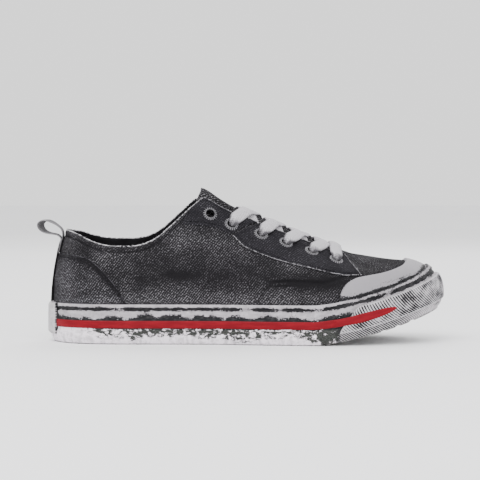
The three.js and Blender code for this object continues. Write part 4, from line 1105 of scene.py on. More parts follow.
# how much of the paint has flaked below the stripe, and how high the bare patches over it reach, by
# distance from the heel
webAt = through([
    (0, 0.0), (24, 0.05), (34, 0.25), (41, 0.75), (50, 0.35), (57, 0.3), (64, 0.85), (84, 1.0),
    (96, 0.7), (108, 1.0), (120, 0.85), (134, 1.0), (148, 0.9), (158, 0.5), (176, 0.45), (190, 0.6),
    (200, 1.6), (222, 2.2), (236, 1.2),
])
blotchHeightAt = through([
    (0, 2.2), (10, 3.4), (20, 2.2), (28, 3.0), (38, 0.9), (47, 3.6), (55, 3.4), (60, 1.4), (68, 3.4),
    (76, 5.2), (82, 3.2), (92, 4.8), (100, 4.6), (106, 1.8), (116, 4.6), (126, 4.2), (132, 2.2),
    (142, 4.4), (152, 2.4), (164, 4.6), (174, 2.4), (186, 3.6), (196, 1.4), (206, 2.4), (214, 3.6),
    (226, 2.6),
])


def foxingWearAndShadow(x, lift, arc):
    top = foxingHeightAt(x)
    atToe = smooth(x, 210, 232)
    wide = 1.75
    groove = np.exp(-np.abs((lift - (top - 3.4)) / wide) ** 2.4)
    peel = groove * (1.14 + 0.4 * ripple(arc, 0 * arc, 15, 12) + 0.2 * ripple(arc, lift, 5, 13))
    peel += 0.95 * atToe * np.exp(-(np.maximum(top - lift, 0) / 0.9) ** 2)
    stripeTop = sole["stripeLift"] + sole["stripeHeight"]
    reach = blotchHeightAt(x) * (1 + 0.25 * ripple(arc, 0 * arc, 7, 5)) + 0.5
    peel += 1.15 * (lift > stripeTop - 1) * (1 - smooth(lift - stripeTop, reach - 3.6, reach + 2.6))
    under = sole["stripeLift"] - lift
    # a dark band just under the stripe's lower edge: painted shadow of the stripe, broken up like worn paint
    shadowAndWearUnderStripe = (0.95 + 0.3 * ripple(arc, 0 * arc, 13, 14)) * smooth(x, 6, 40)
    peel += shadowAndWearUnderStripe * np.exp(-(np.maximum(under, 0) / 1.0) ** 2) * (under > -1)
    peel += 0.6 * hill(x - 219, 9) * (lift < sole["stripeLift"])  # dark wedge in front of the bumper
    return peel - 0.12


def buildFoxing():
    turns = np.linspace(0, 1, sole["turns"], endpoint=False)
    x = outlineAt(turns)[0][..., 0]
    top = foxingHeightAt(x)
    lift0 = sole["foxingLift"]
    rib, groove = sole["ribHeight"], sole["grooveHeight"]
    shares = np.concatenate([
        lift0 + sole["edgeRound"] * np.array([0, 0.04, 0.12, 0.24, 0.4, 0.58, 0.78, 1]),
        np.linspace(8.5, 19.5, 7)])
    fixed = np.broadcast_to(shares, (len(turns), len(shares)))
    fromTop = np.array([8, 6.4, 5.9, 5.6, 5.3, 5.0, 4.6, 4.0, 3.6, 3.3, 3.05, 2.8, 2.55, 2.2, 1.5, 0.9,
                        0.5, 0.25, 0.08, 0])
    lifts = np.concatenate([fixed, top[:, None] - fromTop[None, :]], axis=1)
    below = np.clip((lifts - lift0) / sole["edgeRound"], 0, 1)
    out = -0.4 * sole["edgeRound"] * (1 - below) ** 2.4
    drop = top[:, None] - lifts
    beyond = rib + groove
    inGroove = smooth(drop, rib - 0.35, rib + 0.25) * (1 - smooth(drop, beyond - 0.25, beyond + 0.5))
    onRib = 1 - smooth(drop, rib - 0.55, rib - 0.05)
    roundTop = 0.5 * (1 - np.clip(drop / 0.5, 0, 1)) ** 2
    arc = arcLength(outlineAt(turns)[0])[:, None]
    ragged = 0.1 * ripple(arc, lifts * 2, 6, 31) + 0.06 * ripple(arc, lifts * 3, 2.6, 32)
    out = out - sole["grooveDepth"] * inGroove + sole["ribProud"] * onRib - roundTop + ragged * (below >= 1)
    outer = onFoxing(turns[:, None], lifts, out)
    footbed = footbedAt(x)
    topHeight = foxingTopAt(x)
    inner = []
    for share in (1, 0.74, 0.4):
        climb = climbToHeight(turns, mix(footbed, topHeight, share))
        inner.append(lastPoint(turns, climb) + lastNormal(turns, climb) * 0.4)
    point, outward = outlineAt(turns)

    def wallAt(height, away):
        return np.concatenate([point + outward * (away - shoe["foxingWall"] - 0.3), height[:, None]], -1)
    inner.append(wallAt(footbed, 0.3))
    inner.append(wallAt(undersideAt(x) + lift0, 0.3))
    profiles = np.concatenate([outer, np.stack(inner, 1)], axis=1)
    inLifts = top[:, None] * [1, 1, 1, 0, 0]  # the inner face takes its pattern from the top edge
    allLifts = np.concatenate([lifts, inLifts], axis=1)
    uv = np.stack([arc + 0 * allLifts, allLifts], -1)
    peel = foxingWearAndShadow(x[:, None] + 0 * allLifts, allLifts, arc + 0 * allLifts)
    fromPatch = np.abs(np.minimum(turns, 1 - turns) - heelPatchTurn) * arc[-1]
    peel += 1.5 * hill(fromPatch[:, None], 2.4) * (allLifts > 9)
    peel[:, len(lifts[0]):] = 0
    below = sole["stripeLift"] - allLifts
    # how far down the flaking reaches
    spread = 6.5 + 3.5 * ripple(arc, 0 * arc, 34, 44) + 4 * hill(x[:, None] - 211, 10)
    web = 0.95 * webAt(x)[:, None] * smooth(below, -0.5, 1.0) * (1 - smooth(below - spread, -3, 2.5))
    rope = smooth(x, bumperStart - 1, bumperStart + 2)[:, None] * (allLifts < 7.5) * (allLifts > 0)
    rope = rope * (1 - 0.5 * smooth(x, 256, 290))[:, None]
    dull = 0.72 * smooth(allLifts, 16, 18.5) + 0.1 * smooth(x, 200, 240)[:, None]
    return ringMesh("foxing_band", [foxingRubber], profiles, uv,
                    {"peel": peel, "web": web * (1 - rope), "rope": rope, "dull": dull}, 50)


foxing = buildFoxing()
print("scene: toe cap and foxing")


def bumperMaterial():
    # rope-like ribs moulded on the slant: dark grooves, pale worn crests, rubbed white near the tip
    material, node = newMaterial("ribbed bumper rubber", 0.6, 0.12)
    band = node("cloth")
    crest = node("MULTIPLY", stripes(node, band, ribWay, ribPitch), node("field", attribute_name="crest"))
    rubbed = node("field", attribute_name="rubbed")
    coarse = noise(node, band, (0.09, 0.13, 1), 4, 0.62)
    fine = noise(node, band, (0.9, 0.9, 1), 3, 0.65, (5, 9, 0))
    level = node("ADD", crest, node("MULTIPLY_ADD", coarse, 2.6, -1.2))
    level = node("ADD", level, node("ADD", rubbed, node("MULTIPLY_ADD", fine, 1.0, -0.5)))
    pale = node("ramp", level, 0.0, 0.62)
    colour = node("blend", pale, "#121215", "#b5b2b6")
    colour = node("blend", node("ramp", coarse, 0.56, 0.74, 0.0, 0.45), colour, "#b5b2b6")
    return finished(material, colour, fine, 0.0003, 0.5)


def buildBumper():
    start, slantLength, roundLength = bumperStart, 0.034 * soleLength, 0.022 * soleLength
    first = [turnAt(np.array([start]), side)[0] for side in (True, False)]
    lead = [turnAt(np.array([start + slantLength]), side)[0] for side in (True, False)]
    foot = sole["edgeRound"] + sole["foxingLift"]
    even = np.linspace(0, 1, 560)
    arc = arcLength(outlineAt(mix(lead[0], lead[1], even))[0])
    columns = np.interp(np.linspace(0, arc[-1], len(even)), arc, even)
    heights = (toEnds(62) + np.linspace(0, 1, 62)) / 2
    slant = heights[None, :] ** 1.5
    turns = mix(mix(first[0], lead[0], slant), mix(first[1], lead[1], slant), columns[:, None])
    x = outlineAt(turns)[0][..., 0]
    ahead = np.clip((x - start - slantLength * slant) / roundLength, 0, 1)
    full = foxingHeightAt(x) - sole["bumperDrop"]
    top = full - 0.3 * (full - foot) * (1 - np.sqrt(1 - (1 - ahead) ** 2))
    lifts = mix(foot, top, heights[None, :])
    outside = sole["laid"] + sole["bumperWall"] + 0.3
    flat = onFoxing(turns, lifts, outside)
    along = np.linspace(0, arc[-1], len(even))[:, None] + 0 * lifts
    away = edgeDistance(flat)[2]
    wave = np.sin((ribWay[0] * along + ribWay[1] * lifts) * 2 * math.pi / ribPitch)
    inside = smooth(away, 0.5, 1.6)
    edge = hill(away, 0.7)
    sunk = 0.9 * edge + sole["bumperRibDepth"] * (0.5 - 0.5 * wave) * inside
    outer = onFoxing(turns, lifts, outside - sunk)
    inner = onFoxing(turns, lifts, sole["laid"])
    tip = hill(x - soleLength, 26)
    rubbed = 0.28 + 0.16 * ripple(along, lifts, 22, 14) - 0.2 * hill(x - 232, 12) * hill(lifts - 9, 5)
    rubbed = rubbed - 0.2 * hill(x - 268, 12) - 0.12 * tip + 0.5 * (1 - inside)
    return sheetMesh("toe_bumper_rubber", bumperMaterial(), outer, inner, np.stack([along, lifts], -1),
                     {"crest": 0.55 * (1 - 0.45 * tip), "rubbed": rubbed}, 70)


bumper = buildBumper()


def stripeMaterial():
    # satin red rubber strip, scuffed and a little dirty along its edges
    material, node = newMaterial("red rubber strip", 0.5, 0.12)
    band = node("cloth")
    patches = noise(node, band, (0.09, 0.4, 1), 4, 0.6)
    scuffs = node("ramp", noise(node, band, (0.22, 1.6, 1), 4, 0.7, (4, 1, 0)), 0.62, 0.72, 0.0, 0.6)
    colour = node("blend", node("ramp", patches, 0.35, 0.7), "#6c0715", "#7d0a1a")
    colour = node("blend", node("MULTIPLY", scuffs, node("field", attribute_name="grimeAndLaceShade")), colour, "#2c0608")
    return finished(material, colour, patches, 0.0002, 0.5)


redRubber = stripeMaterial()


def buildStripe(sideName, lateral):
    start = heelPatchTurn + 0.001 if lateral else 1 - heelPatchTurn - 0.001
    tip, taper = 0.868 * soleLength, 0.09 * soleLength
    turns = mix(start, turnAt(np.array([tip]), lateral)[0], 1 - (1 - np.linspace(0, 1, 300)) ** 1.5)
    x = outlineAt(turns)[0][..., 0]
    rampEnd = bumperStart - 2
    lifted = smooth(x, rampEnd - 5, rampEnd)
    inside = sole["laid"] + lifted * (sole["bumperWall"] + 0.35)
    share = np.maximum(0, (x - tip + taper) / taper)
    size = np.sqrt(np.maximum(0.004, 1 - share * share)) * (1 + 0.14 * smooth(x, 222, 234))
    across = np.linspace(-1, 1, 17)
    lifts = sole["stripeLift"] + sole["stripeHeight"] / 2 * (1 + size[:, None] * across[None, :])
    rounded = sole["stripeWall"] * (1 - 0.75 * np.abs(across[None, :]) ** 5)
    outer = onFoxing(turns[:, None], lifts, inside[:, None] + rounded * (0.6 + 0.4 * size[:, None]))
    inner = onFoxing(turns[:, None], lifts, inside[:, None] - 0.1)
    arc = arcLength(outer[:, 8])[:, None] + 0 * lifts
    grimeAndLaceShade = 0.3 + 0.7 * np.abs(across[None, :]) ** 3 + 0 * lifts
    return sheetMesh(f"stripe_{sideName}_rubber", redRubber, outer, inner, np.stack([arc, lifts], -1),
                     {"grimeAndLaceShade": grimeAndLaceShade}, 60)


stripePieces = [(buildStripe("lateral", True), "stripe_lateral"),
                (buildStripe("medial", False), "stripe_medial")]


def buildHeelPatch():
    turns = np.linspace(-heelPatchTurn, heelPatchTurn, 90)
    low, high = sole["edgeRound"] + sole["foxingLift"], shoe["foxingHeight"] - 0.4
    lifts = mix(low, high, toEnds(60))[None, :] + 0 * turns[:, None]
    outside = sole["laid"] + 0.7 + sole["heelPatchWall"]
    flat = onFoxing(turns[:, None], lifts, outside)
    alongAway, upAway, away = edgeDistance(flat)
    arc = arcLength(flat[:, 30])[:, None] + 0 * lifts
    uneven = 0.1 * ripple(arc, lifts, 7, 41)
    outer = onFoxing(turns[:, None], lifts, outside + uneven - 0.9 * hill(away, 0.8))
    inner = onFoxing(turns[:, None], lifts, sole["laid"])
    peel = 0.6 * hill(alongAway, 0.9) + 0.12 * ripple(arc, lifts, 16, 42) + 0.3 * hill(upAway, 0.8) - 0.1
    return sheetMesh("heel_patch_rubber", patchRubber, outer, inner, np.stack([arc, lifts], -1),
                     {"peel": peel, "web": 0, "rope": 0, "dull": 0.3}, 60)


heelPatch = buildHeelPatch()
print("scene: bumper, stripes and heel patch")


def outsoleMaterial():
    # moulded tread rubber: grey-white, scrubbed and gritty, dark in the grooves
    material, node = newMaterial("tread rubber", 0.7, 0.3)
    band = node("cloth")
    grooved = node("field", attribute_name="groove")
    zigzag = stripes(node, band, (1, 0), 2.4, node("MULTIPLY", stripes(node, band, (0, 1), 9), 1.6))
    grit = noise(node, band, 0.8, 3, 0.7)
    stains = noise(node, band, 0.05, 4, 0.6, (7, 3, 0))
    colour = node("blend", node("ramp", stains, 0.35, 0.7), "#aaa7a9", "#6a6763")
    colour = node("blend", node("ramp", node("ADD", zigzag, grit), -0.4, 0.5, 0.55, 0.0), colour, "#4c4a49")
    colour = node("blend", grooved, colour, "#3d3b3c")
    return finished(material, colour, node("ADD", zigzag, node("MULTIPLY", grit, 0.6)), 0.0007, 0.9)


def footPlan(heelRows, rows, toeRows, inset, across):
    # a grid inside the outline, [along, across], closer together towards heel and toe
    ends = 45
    heel, toe = (ends * (1 - np.cos(np.linspace(0, quarterTurn, count))) for count in (heelRows, toeRows))
    places = np.unique(np.concatenate([heel, np.linspace(ends, soleLength - ends, rows), soleLength - toe]))
    outlines = [outlineAt(turnAt(places, lateral)) for lateral in (True, False)]
    sides = [(point - outward * inset)[:, None] for point, outward in outlines]
    return mix(*sides, across[None, :, None])


def buildOutsole():
    flat = footPlan(30, 420, 60, 3.0, np.linspace(0, 1, 40))
    x = flat[..., 0]
    groove = np.zeros(x.shape)
    for low, high in ((0.07 * soleLength, 0.25 * soleLength), (0.47 * soleLength, 0.92 * soleLength)):
        for k in range(int((high - low) // sole["treadPitch"]) + 1):
            centre = low + k * sole["treadPitch"]
            half = sole["treadGroove"] / 2
            groove = np.maximum(groove, 1 - smooth(np.abs(x - centre), half - 0.35, half + 0.35))
    bottom = np.concatenate([flat, (undersideAt(x) + sole["treadDepth"] * groove)[..., None]], -1)
    top = np.concatenate([flat, (footbedAt(x) - 0.3)[..., None]], -1)
    return sheetMesh("outsole_tread", outsoleMaterial(), bottom, top, flat, {"groove": groove}, 40)


def insoleMaterial():
    # worn cotton footbed, darker under heel and ball
    material, node = newMaterial("cotton footbed", 0.9, 0.05)
    cloth = node("cloth")
    weave = node("MULTIPLY", stripes(node, cloth, (1, 0), 1.4), stripes(node, cloth, (0, 1), 1.4))
    patches = noise(node, cloth, 0.04, 4, 0.6)
    worn = node("field", attribute_name="worn")
    level = node("ADD", node("MULTIPLY", weave, 0.1), node("ramp", patches, 0.3, 0.7, 0.25, 0.75))
    colour = node("blend", node("SUBTRACT", level, worn, use_clamp=True), "#111012", "#353338")
    return finished(material, colour, weave, 0.0005, 0.6)


def buildInsole():
    flat = footPlan(24, 120, 24, 5.9, toEnds(50))
    x, y = flat[..., 0], flat[..., 1]
    away = edgeDistance(flat)[2]
    heelDip = np.exp(-((x - 42) / 26) ** 2 - (y / 20) ** 2)
    ballDip = np.exp(-((x - 205) / 26) ** 2 - ((y - 4) / 30) ** 2)
    height = footbedAt(x) + 3.4 - 0.9 * heelDip - 0.7 * ballDip - 0.9 * hill(away, 1.0)
    top = np.concatenate([flat, height[..., None]], -1)
    bottom = np.concatenate([flat, footbedAt(x)[..., None]], -1)
    return sheetMesh("insole_fabric", insoleMaterial(), top, bottom, flat,
                     {"worn": 0.35 * heelDip + 0.3 * ballDip}, 50)


outsole = buildOutsole()
insole = buildInsole()

tongueSizes = {
    "wall": 2.2,
    "halfWidth": 35.0,
    "tuck": 14.0,
    "crown": 3.7,
    "top": 0.389 * soleLength,
    "topSlant": 12.0,
    "depth": 5.8,
    "ragged": 0.5,  # unevenness of the cut edge
}


def tongueDepthAt(x, distance):
    crown = np.cos(quarterTurn * np.minimum(1, np.abs(distance) / (0.8 * throatGapAt(x))))
    opened = 1 - smooth(x, shoe["throatEnd"] - 22, shoe["throatEnd"] - 6)
    return tongueSizes["depth"] - tongueSizes["crown"] * crown * opened


def onTongue(x, distance, out):
    shape = np.broadcast(x, distance).shape
    x, distance = np.broadcast_to(x, shape).astype(float), np.broadcast_to(distance, shape).astype(float)
    turn = np.where(distance < 0, turnAt(x, True), turnAt(x, False))
    away = (out - tongueDepthAt(x, distance))[..., None]
    ridgeClimb = np.full(shape, quarterTurn)
    climb = walk(turn, ridgeClimb, -np.abs(distance))
    point, ridge = (lastPoint(turn, c) + lastNormal(turn, c) * away for c in (climb, ridgeClimb))
    return np.where((np.abs(distance) < 0.3)[..., None], ridge, point)


def buildTongue():
    across = np.linspace(-1, 1, 79)[None, :]
    rows = np.concatenate([np.linspace(0, 0.04, 6), np.linspace(0.05, 1, 96)])[:, None]
    ragged = tongueSizes["ragged"] * ripple(across * 35, 0 * across, 3.0, 51) * (1 - smooth(rows, 0, 0.05))
    start = tongueSizes["top"] - tongueSizes["topSlant"] * across ** 2 + ragged
    x = mix(start, shoe["throatEnd"] + tongueSizes["tuck"], rows)
    distance = across * mix(tongueSizes["halfWidth"], 0.75 * tongueSizes["halfWidth"], rows)
    fromTop = x - start
    hump = 0.8 * hill(fromTop - 6, 5) * np.cos(quarterTurn * across) + 0.3 * ripple(x, distance, 16, 52)
    thin = 0.45 * hill(fromTop, 1.2)
    outer = onTongue(x, distance, 0.25 * hump - thin)
    inner = onTongue(x, distance, 0.25 * hump - tongueSizes["wall"] + thin)
    fade = 0.05 + 0.2 * hill(fromTop, 3) + 0.1 * ripple(x, distance, 11, 53) + 0 * x
    uv = np.stack([x, distance], -1)
    return sheetMesh("tongue_cloth", tongueCloth, outer, inner, uv, {"fade": fade}, 60)


tongue = buildTongue()
print("scene: outsole, insole and tongue")


# Eyelets: toothed rings of dulled metal, one mesh placed on every hole by nodes

eyelet = {
    "bore": 3.2,
    "rim": 5.45,
    "teeth": 18,
    "seat": 1.35,  # the rim lies on the facing
    "rise": 0.95,
    "barrel": 5.2,  # length of the tube through the wall
}


def metalMaterial():
    # dull nickel, pale on the worn teeth and dark in the gaps
    material, node = newMaterial("dulled nickel", 0.42, metallic=0.35)
    place = node("object")
    grain = noise(node, place, 900, 3, 0.6)
    tooth = node("field", attribute_name="tooth")
    colour = node("blend", tooth, "#0f0e11", "#97959a")
    colour = node("blend", node("ramp", grain, 0.5, 0.75, 0.0, 0.5), colour, "#2a292c")
    return finished(material, colour, grain, 0.0001, 0.6)


def eyeletMesh():
    segments = eyelet["teeth"] * 4
    angle = np.linspace(0, 2 * math.pi, segments, endpoint=False)[:, None]
    tooth = smooth(np.sin(angle * eyelet["teeth"]), -0.1, 0.6)
    bore, rim, rise, end = eyelet["bore"], eyelet["rim"], eyelet["rise"], -eyelet["barrel"]
    profile = [  # radius, height, how much the teeth shape it
        (bore + 0.55, end, 0), (bore + 1.9, end, 0), (bore + 1.9, end - 0.35, 0), (bore, end - 0.35, 0),
        (bore, 0.1, 0), (bore + 0.05, 0.55 * rise, 0), (bore + 0.35, 0.92 * rise, 0.1),
        (bore + 0.8, rise, 0.35), (bore + 1.3, rise, 0.8), (rim - 0.75, 0.85 * rise, 1),
        (rim - 0.25, 0.5 * rise, 1),
        (rim, 0.1, 0.6), (rim - 0.1, -0.05, 0), (bore + 0.6, -0.05, 0), (bore + 0.55, -0.4, 0),
    ]
    rows, marks = [], []
    for radius, height, share in profile:
        r = radius - 0.28 * share * (1 - tooth)
        h = height - 0.55 * share * (1 - tooth)
        rows.append(np.concatenate([r * np.cos(angle), r * np.sin(angle), h], -1))
        marks.append(0.05 + 0.95 * tooth[:, 0] * share + (0.2 if 0 < share < 0.5 else 0))
    return np.stack(rows, 1), np.stack(marks, 1)


def buildEyelets():
    profiles, marks = eyeletMesh()
    profiles += shoe["origin"]
    one = ringMesh("eyelet_one", [], profiles, None, {"tooth": np.clip(marks, 0, 1)}, 45)
    spots, axes = [], []
    for lateral in (True, False):
        for index in range(len(eyeletPlaces)):
            turn, climb = eyeletSpot(index, lateral)
            axes.append(lastNormal(turn, climb)[0])
            spots.append(onUpper(turn, climb, eyelet["seat"])[0])
    source = lineObject("eyelet_spots", [np.array(spots)], [np.array(axes)])
    node, given = newTree("eyelets on facings", [
        ("Eyelet", "Object", None), ("Scale", "Float", 1.0), ("Material", "Material", None)])
    turned = node("facing", node("vector", "lean"), axis="Z")
    rings = node("copies", node("points", given["Geometry"]), node("thing", given["Eyelet"]), turned,
                given["Scale"])
    tree = endTree(rings, given)
    thing = runTree("eyelet_rings", tree, source, {"Eyelet": one, "Scale": 1.0, "Material": metalMaterial()})
    bpy.data.objects.remove(one)
    return thing


eyelets = buildEyelets()
print("scene: eyelets", len(eyelets.data.polygons))


# Lace: flat woven cotton, up through each eyelet and across to the next one on the other side

lace = {
    "width": 10.2,
    "wall": 1.5,
    "over": 2.9,  # height over the upper where it lies on the facing
    "under": 3.2,  # depth under a facing
    "overTongue": 2.2,
    "cross": 0.95,  # one strip over the other in the middle
}


def laceMaterial():
    # flat braided cotton: herringbone ribs along the strip, stained in patches, and darker at the eyelets and
    # along the edges, painted shade with some dirt
    material, node = newMaterial("braided cotton", 0.85, 0.1, sheen=0.05)
    strip = node("cloth")
    parts = node("split", strip).node.outputs
    mirrored = node("joined", parts[0], node("ABSOLUTE", parts[1]))
    braid = stripes(node, mirrored, (0.8, 0.6), 1.5)
    fuzz = noise(node, strip, (0.9, 0.9, 1), 3, 0.6)
    stain = noise(node, strip, (0.12, 0.2, 1), 3, 0.6, (3, 8, 0))
    stained = node("MULTIPLY_ADD", stain, 1.1, -0.5)
    grimeAndLaceShade = node("ADD", node("field", attribute_name="grimeAndLaceShade"), stained, use_clamp=True)
    colour = node("blend", node("ramp", braid, -1, 1, 0.3, 0.0), "#c3c0c5", "#525055")
    colour = node("blend", node("ramp", fuzz, 0.45, 0.8, 0.0, 0.25), colour, "#858388")
    colour = node("blend", node("ramp", grimeAndLaceShade, 0.25, 1.0, 0.0, 0.9), colour, "#333135")
    return finished(material, colour, node("ADD", node("MULTIPLY", braid, 0.6), fuzz), 0.0005, 0.7)


def throatSpot(x, distance):
    turn = turnAt(np.array([x]), distance < 0)
    if abs(distance) < 0.05:
        return turn, np.array([quarterTurn])
    return turn, climbToRidgeDistance(turn, np.array([abs(distance)]))


def ribbon(stops, seed):
    # stops: place on the upper (turn, climb), height, share of the width
    spots = np.array([(lastPoint(t, c) + lastNormal(t, c) * out)[0] for t, c, out, _ in stops])
    normals = np.array([lastNormal(t, c)[0] for t, c, _, _ in stops])
    widths = np.array([w for *_, w in stops])
    count = 96
    line = softCurve(spots, count)
    length = arcLength(line)
    chord = np.array([np.argmin(np.linalg.norm(line - spot, axis=1)) for spot in spots])
    chord = np.maximum.accumulate(chord + np.arange(len(chord)) * 1e-3)
    up = unit(np.stack([np.interp(np.arange(count), chord, normals[:, k]) for k in range(3)], -1))
    width = np.interp(np.arange(count), chord, widths)
    width = np.convolve(np.pad(width, 3, mode="edge"), np.ones(7) / 7, "valid")
    # the strip's side keeps the way it has on the upper, also where it dives into a hole
    along = unit(np.gradient(line, axis=0))
    first, last = int(chord[3]), int(chord[-3])
    way = along.copy()
    way[:first] = along[first]
    way[last:] = along[last]
    smoothed = [np.convolve(np.pad(way[:, k], 6, mode="edge"), np.ones(13) / 13, "valid") for k in range(3)]
    side = unit(np.cross(np.stack(smoothed, -1), up))
    face = unit(np.cross(side, along))
    angle = np.linspace(0, 2 * math.pi, 20, endpoint=False)
    across, thick = np.cos(angle), np.sin(angle)
    flatness = np.sign(thick) * np.abs(thick) ** 0.6
    gathered = 1 - width
    half = width * lace["width"] / 2
    thickness = lace["wall"] / 2 * (1 + 1.5 * gathered)
    droop = (0.9 + 0.9 * gathered)[:, None] * across[None, :] ** 2  # edges lower than the middle
    crumple = 0.2 * ripple(length[:, None] + 40 * seed, 3 * across[None, :], 7, 60 + seed)
    pinch = 0.55 * gathered[:, None] * hill(across[None, :] - 0.15, 0.3) * (thick > 0)[None, :]
    height = flatness[None, :] * thickness[:, None] - droop + crumple - pinch
    profile = (line[:, None] + side[:, None] * (across[None, :] * half[:, None])[..., None]
               + face[:, None] * height[..., None])
    uv = np.stack([length[:, None] + 0 * across[None, :] + 17.3 * seed, across[None, :] * half[:, None]], -1)
    return profile, uv, gathered


def eyeletStop(index, lateral, out, share):
    turn, climb = eyeletSpot(index, lateral)
    return turn, climb, out, share


def crossing(index, fromLateral, seed):
    sign = -1 if fromLateral else 1
    startX, endX = eyeletPlaces[index], eyeletPlaces[index + 1]
    startSpot = lastPoint(*eyeletSpot(index, fromLateral))[0]
    endSpot = lastPoint(*eyeletSpot(index + 1, not fromLateral))[0]
    startDistance = abs(startSpot[1] - ridgeAt(startX)[1])
    endDistance = abs(endSpot[1] - ridgeAt(endX)[1])
    startGap, endGap = float(throatGapAt(startX)), float(throatGapAt(endX))
    over, under = lace["over"], -lace["under"]
    lift = lace["cross"] if fromLateral else 0.0
    stops = [eyeletStop(index, fromLateral, under, 0.5), eyeletStop(index, fromLateral, 1.2, 0.56)]
    for distance, out, width in (
        (startDistance - 1.6, over + 0.9, 0.86), (mix(startDistance, startGap, 0.5), over + 0.8, 1.04),
        (startGap - 0.5, over, 1.0), (0.6 * startGap, 0.72 * over + lift, 1.0), (0.25 * startGap, None, 1.0),
        (-0.25 * endGap, None, 1.0), (-0.5 * endGap, None, 1.0), (-(endGap - 1), -0.62 * lace["under"], 0.95),
        (-(endGap + 3.5), under, 0.9), (-(endDistance - 1.5), under - 0.3, 0.6),
    ):
        share = (startDistance - distance) / (startDistance + endDistance)
        x = mix(startX, endX, share + (0.24 if fromLateral else 0.06) * math.sin(math.pi * share))
        if out is None:
            depths = tongueDepthAt(np.full(3, x), sign * distance + np.array([-2.7, 0, 2.7]))
            out = lace["overTongue"] - depths.min() + lift
        stops.append((*throatSpot(x, sign * distance), out, width))
    return ribbon(stops, seed)


def toeBar():
    index = len(eyeletPlaces) - 1
    x = eyeletPlaces[index]
    ridgeY = ridgeAt(x)[1]
    lateralDistance = ridgeY - lastPoint(*eyeletSpot(index, True))[0][1]
    medialDistance = lastPoint(*eyeletSpot(index, False))[0][1] - ridgeY
    over = lace["over"]
    stops = [eyeletStop(index, True, -lace["under"], 0.5), eyeletStop(index, True, 1.2, 0.56)]
    for distance, out, width in (
        (-(lateralDistance - 1.8), over + 0.9, 0.86), (-0.72 * lateralDistance, over + 0.7, 1.0),
        (-0.4 * lateralDistance, over, 1.0), (0, over - 0.4, 1.0), (0.4 * medialDistance, over, 1.0),
        (0.72 * medialDistance, over + 0.7, 1.0), (medialDistance - 1.8, over + 0.9, 0.86),
    ):
        stops.append((*throatSpot(x, distance), out, width))
    stops += [eyeletStop(index, False, 1.2, 0.56), eyeletStop(index, False, -lace["under"], 0.5)]
    return ribbon(stops, 9)


def buildLace():
    strips = [toeBar()]
    for index in range(1, len(eyeletPlaces) - 1):
        for lateral in (True, False):
            strips.append(crossing(index, lateral, 2 * index + int(lateral)))
    profiles, uvs, fields = [], [], []
    for profile, uv, gathered in strips:
        count = len(gathered)
        fromStart = np.arange(count)
        nearEnd = np.exp(-(np.minimum(fromStart, count - 1 - fromStart) / 13.5) ** 3)
        profiles.append(profile)
        uvs.append(uv)
        side = np.abs(np.cos(np.linspace(0, 2 * math.pi, uv.shape[1], endpoint=False)))
        folds = 0.75 + 0.35 * ripple(0 * uv[..., 0], 4.5 * uv[..., 1], 9, 71)
        # darker near both ends, where the strip goes into an eyelet or under a facing, in the folds there,
        # and along its curved edges: painted shade, with some dirt
        fields.append({"grimeAndLaceShade": (1.3 * nearEnd)[:, None] * folds + 0.66 * side[None, :] ** 4})
    print("scene: lace strips, in mm", [round(float(uv[-1, 0, 0] - uv[0, 0, 0])) for uv in uvs])
    return barMesh("lace_cotton", laceMaterial(), profiles, uvs, fields, 75)


laces = buildLace()


# Pull loop of ribbed webbing, its tip turned a little outwards

loop = {
    "width": 12.0,
    "wall": 1.05,
    "yaw": 0.36,
    "places": [  # along and up from the collar's back
        (-4.2, -7), (-6.2, -4.6), (-9.6, -3.5), (-14, -2.8), (-17.6, -1.2), (-19.9, 1.6), (-20.1, 4.6),
        (-18, 6.7), (-14.6, 7.2), (-10.4, 5.7), (-6.4, 3.2), (-3.6, 0.6), (-2.6, -2.4)],
    "stayWidth": 9.0,
}


def webbingMaterial():
    # narrow ribbed webbing, grey and fuzzy on the loop, dark where it is sewn down the back
    material, node = newMaterial("ribbed webbing", 0.88, 0.1, sheen=0.05)
    strip = node("cloth")
    ribs = stripes(node, strip, (0, 1), 1.25)
    picks = stripes(node, strip, (1, 0), 1.1)
    fuzz = noise(node, strip, (0.8, 1.2, 1), 3, 0.65)
    weave = node("MULTIPLY_ADD", picks, 0.25, node("MULTIPLY", ribs, 0.5))
    level = node("ADD", node("MULTIPLY", weave, 0.35), node("MULTIPLY_ADD", fuzz, 1.1, -0.55))
    level = node("ADD", level, node("field", attribute_name="fade"), use_clamp=True)
    return finished(material, node("blend", level, "#121113", "#7f7d80"), weave, 0.0005, 0.7)


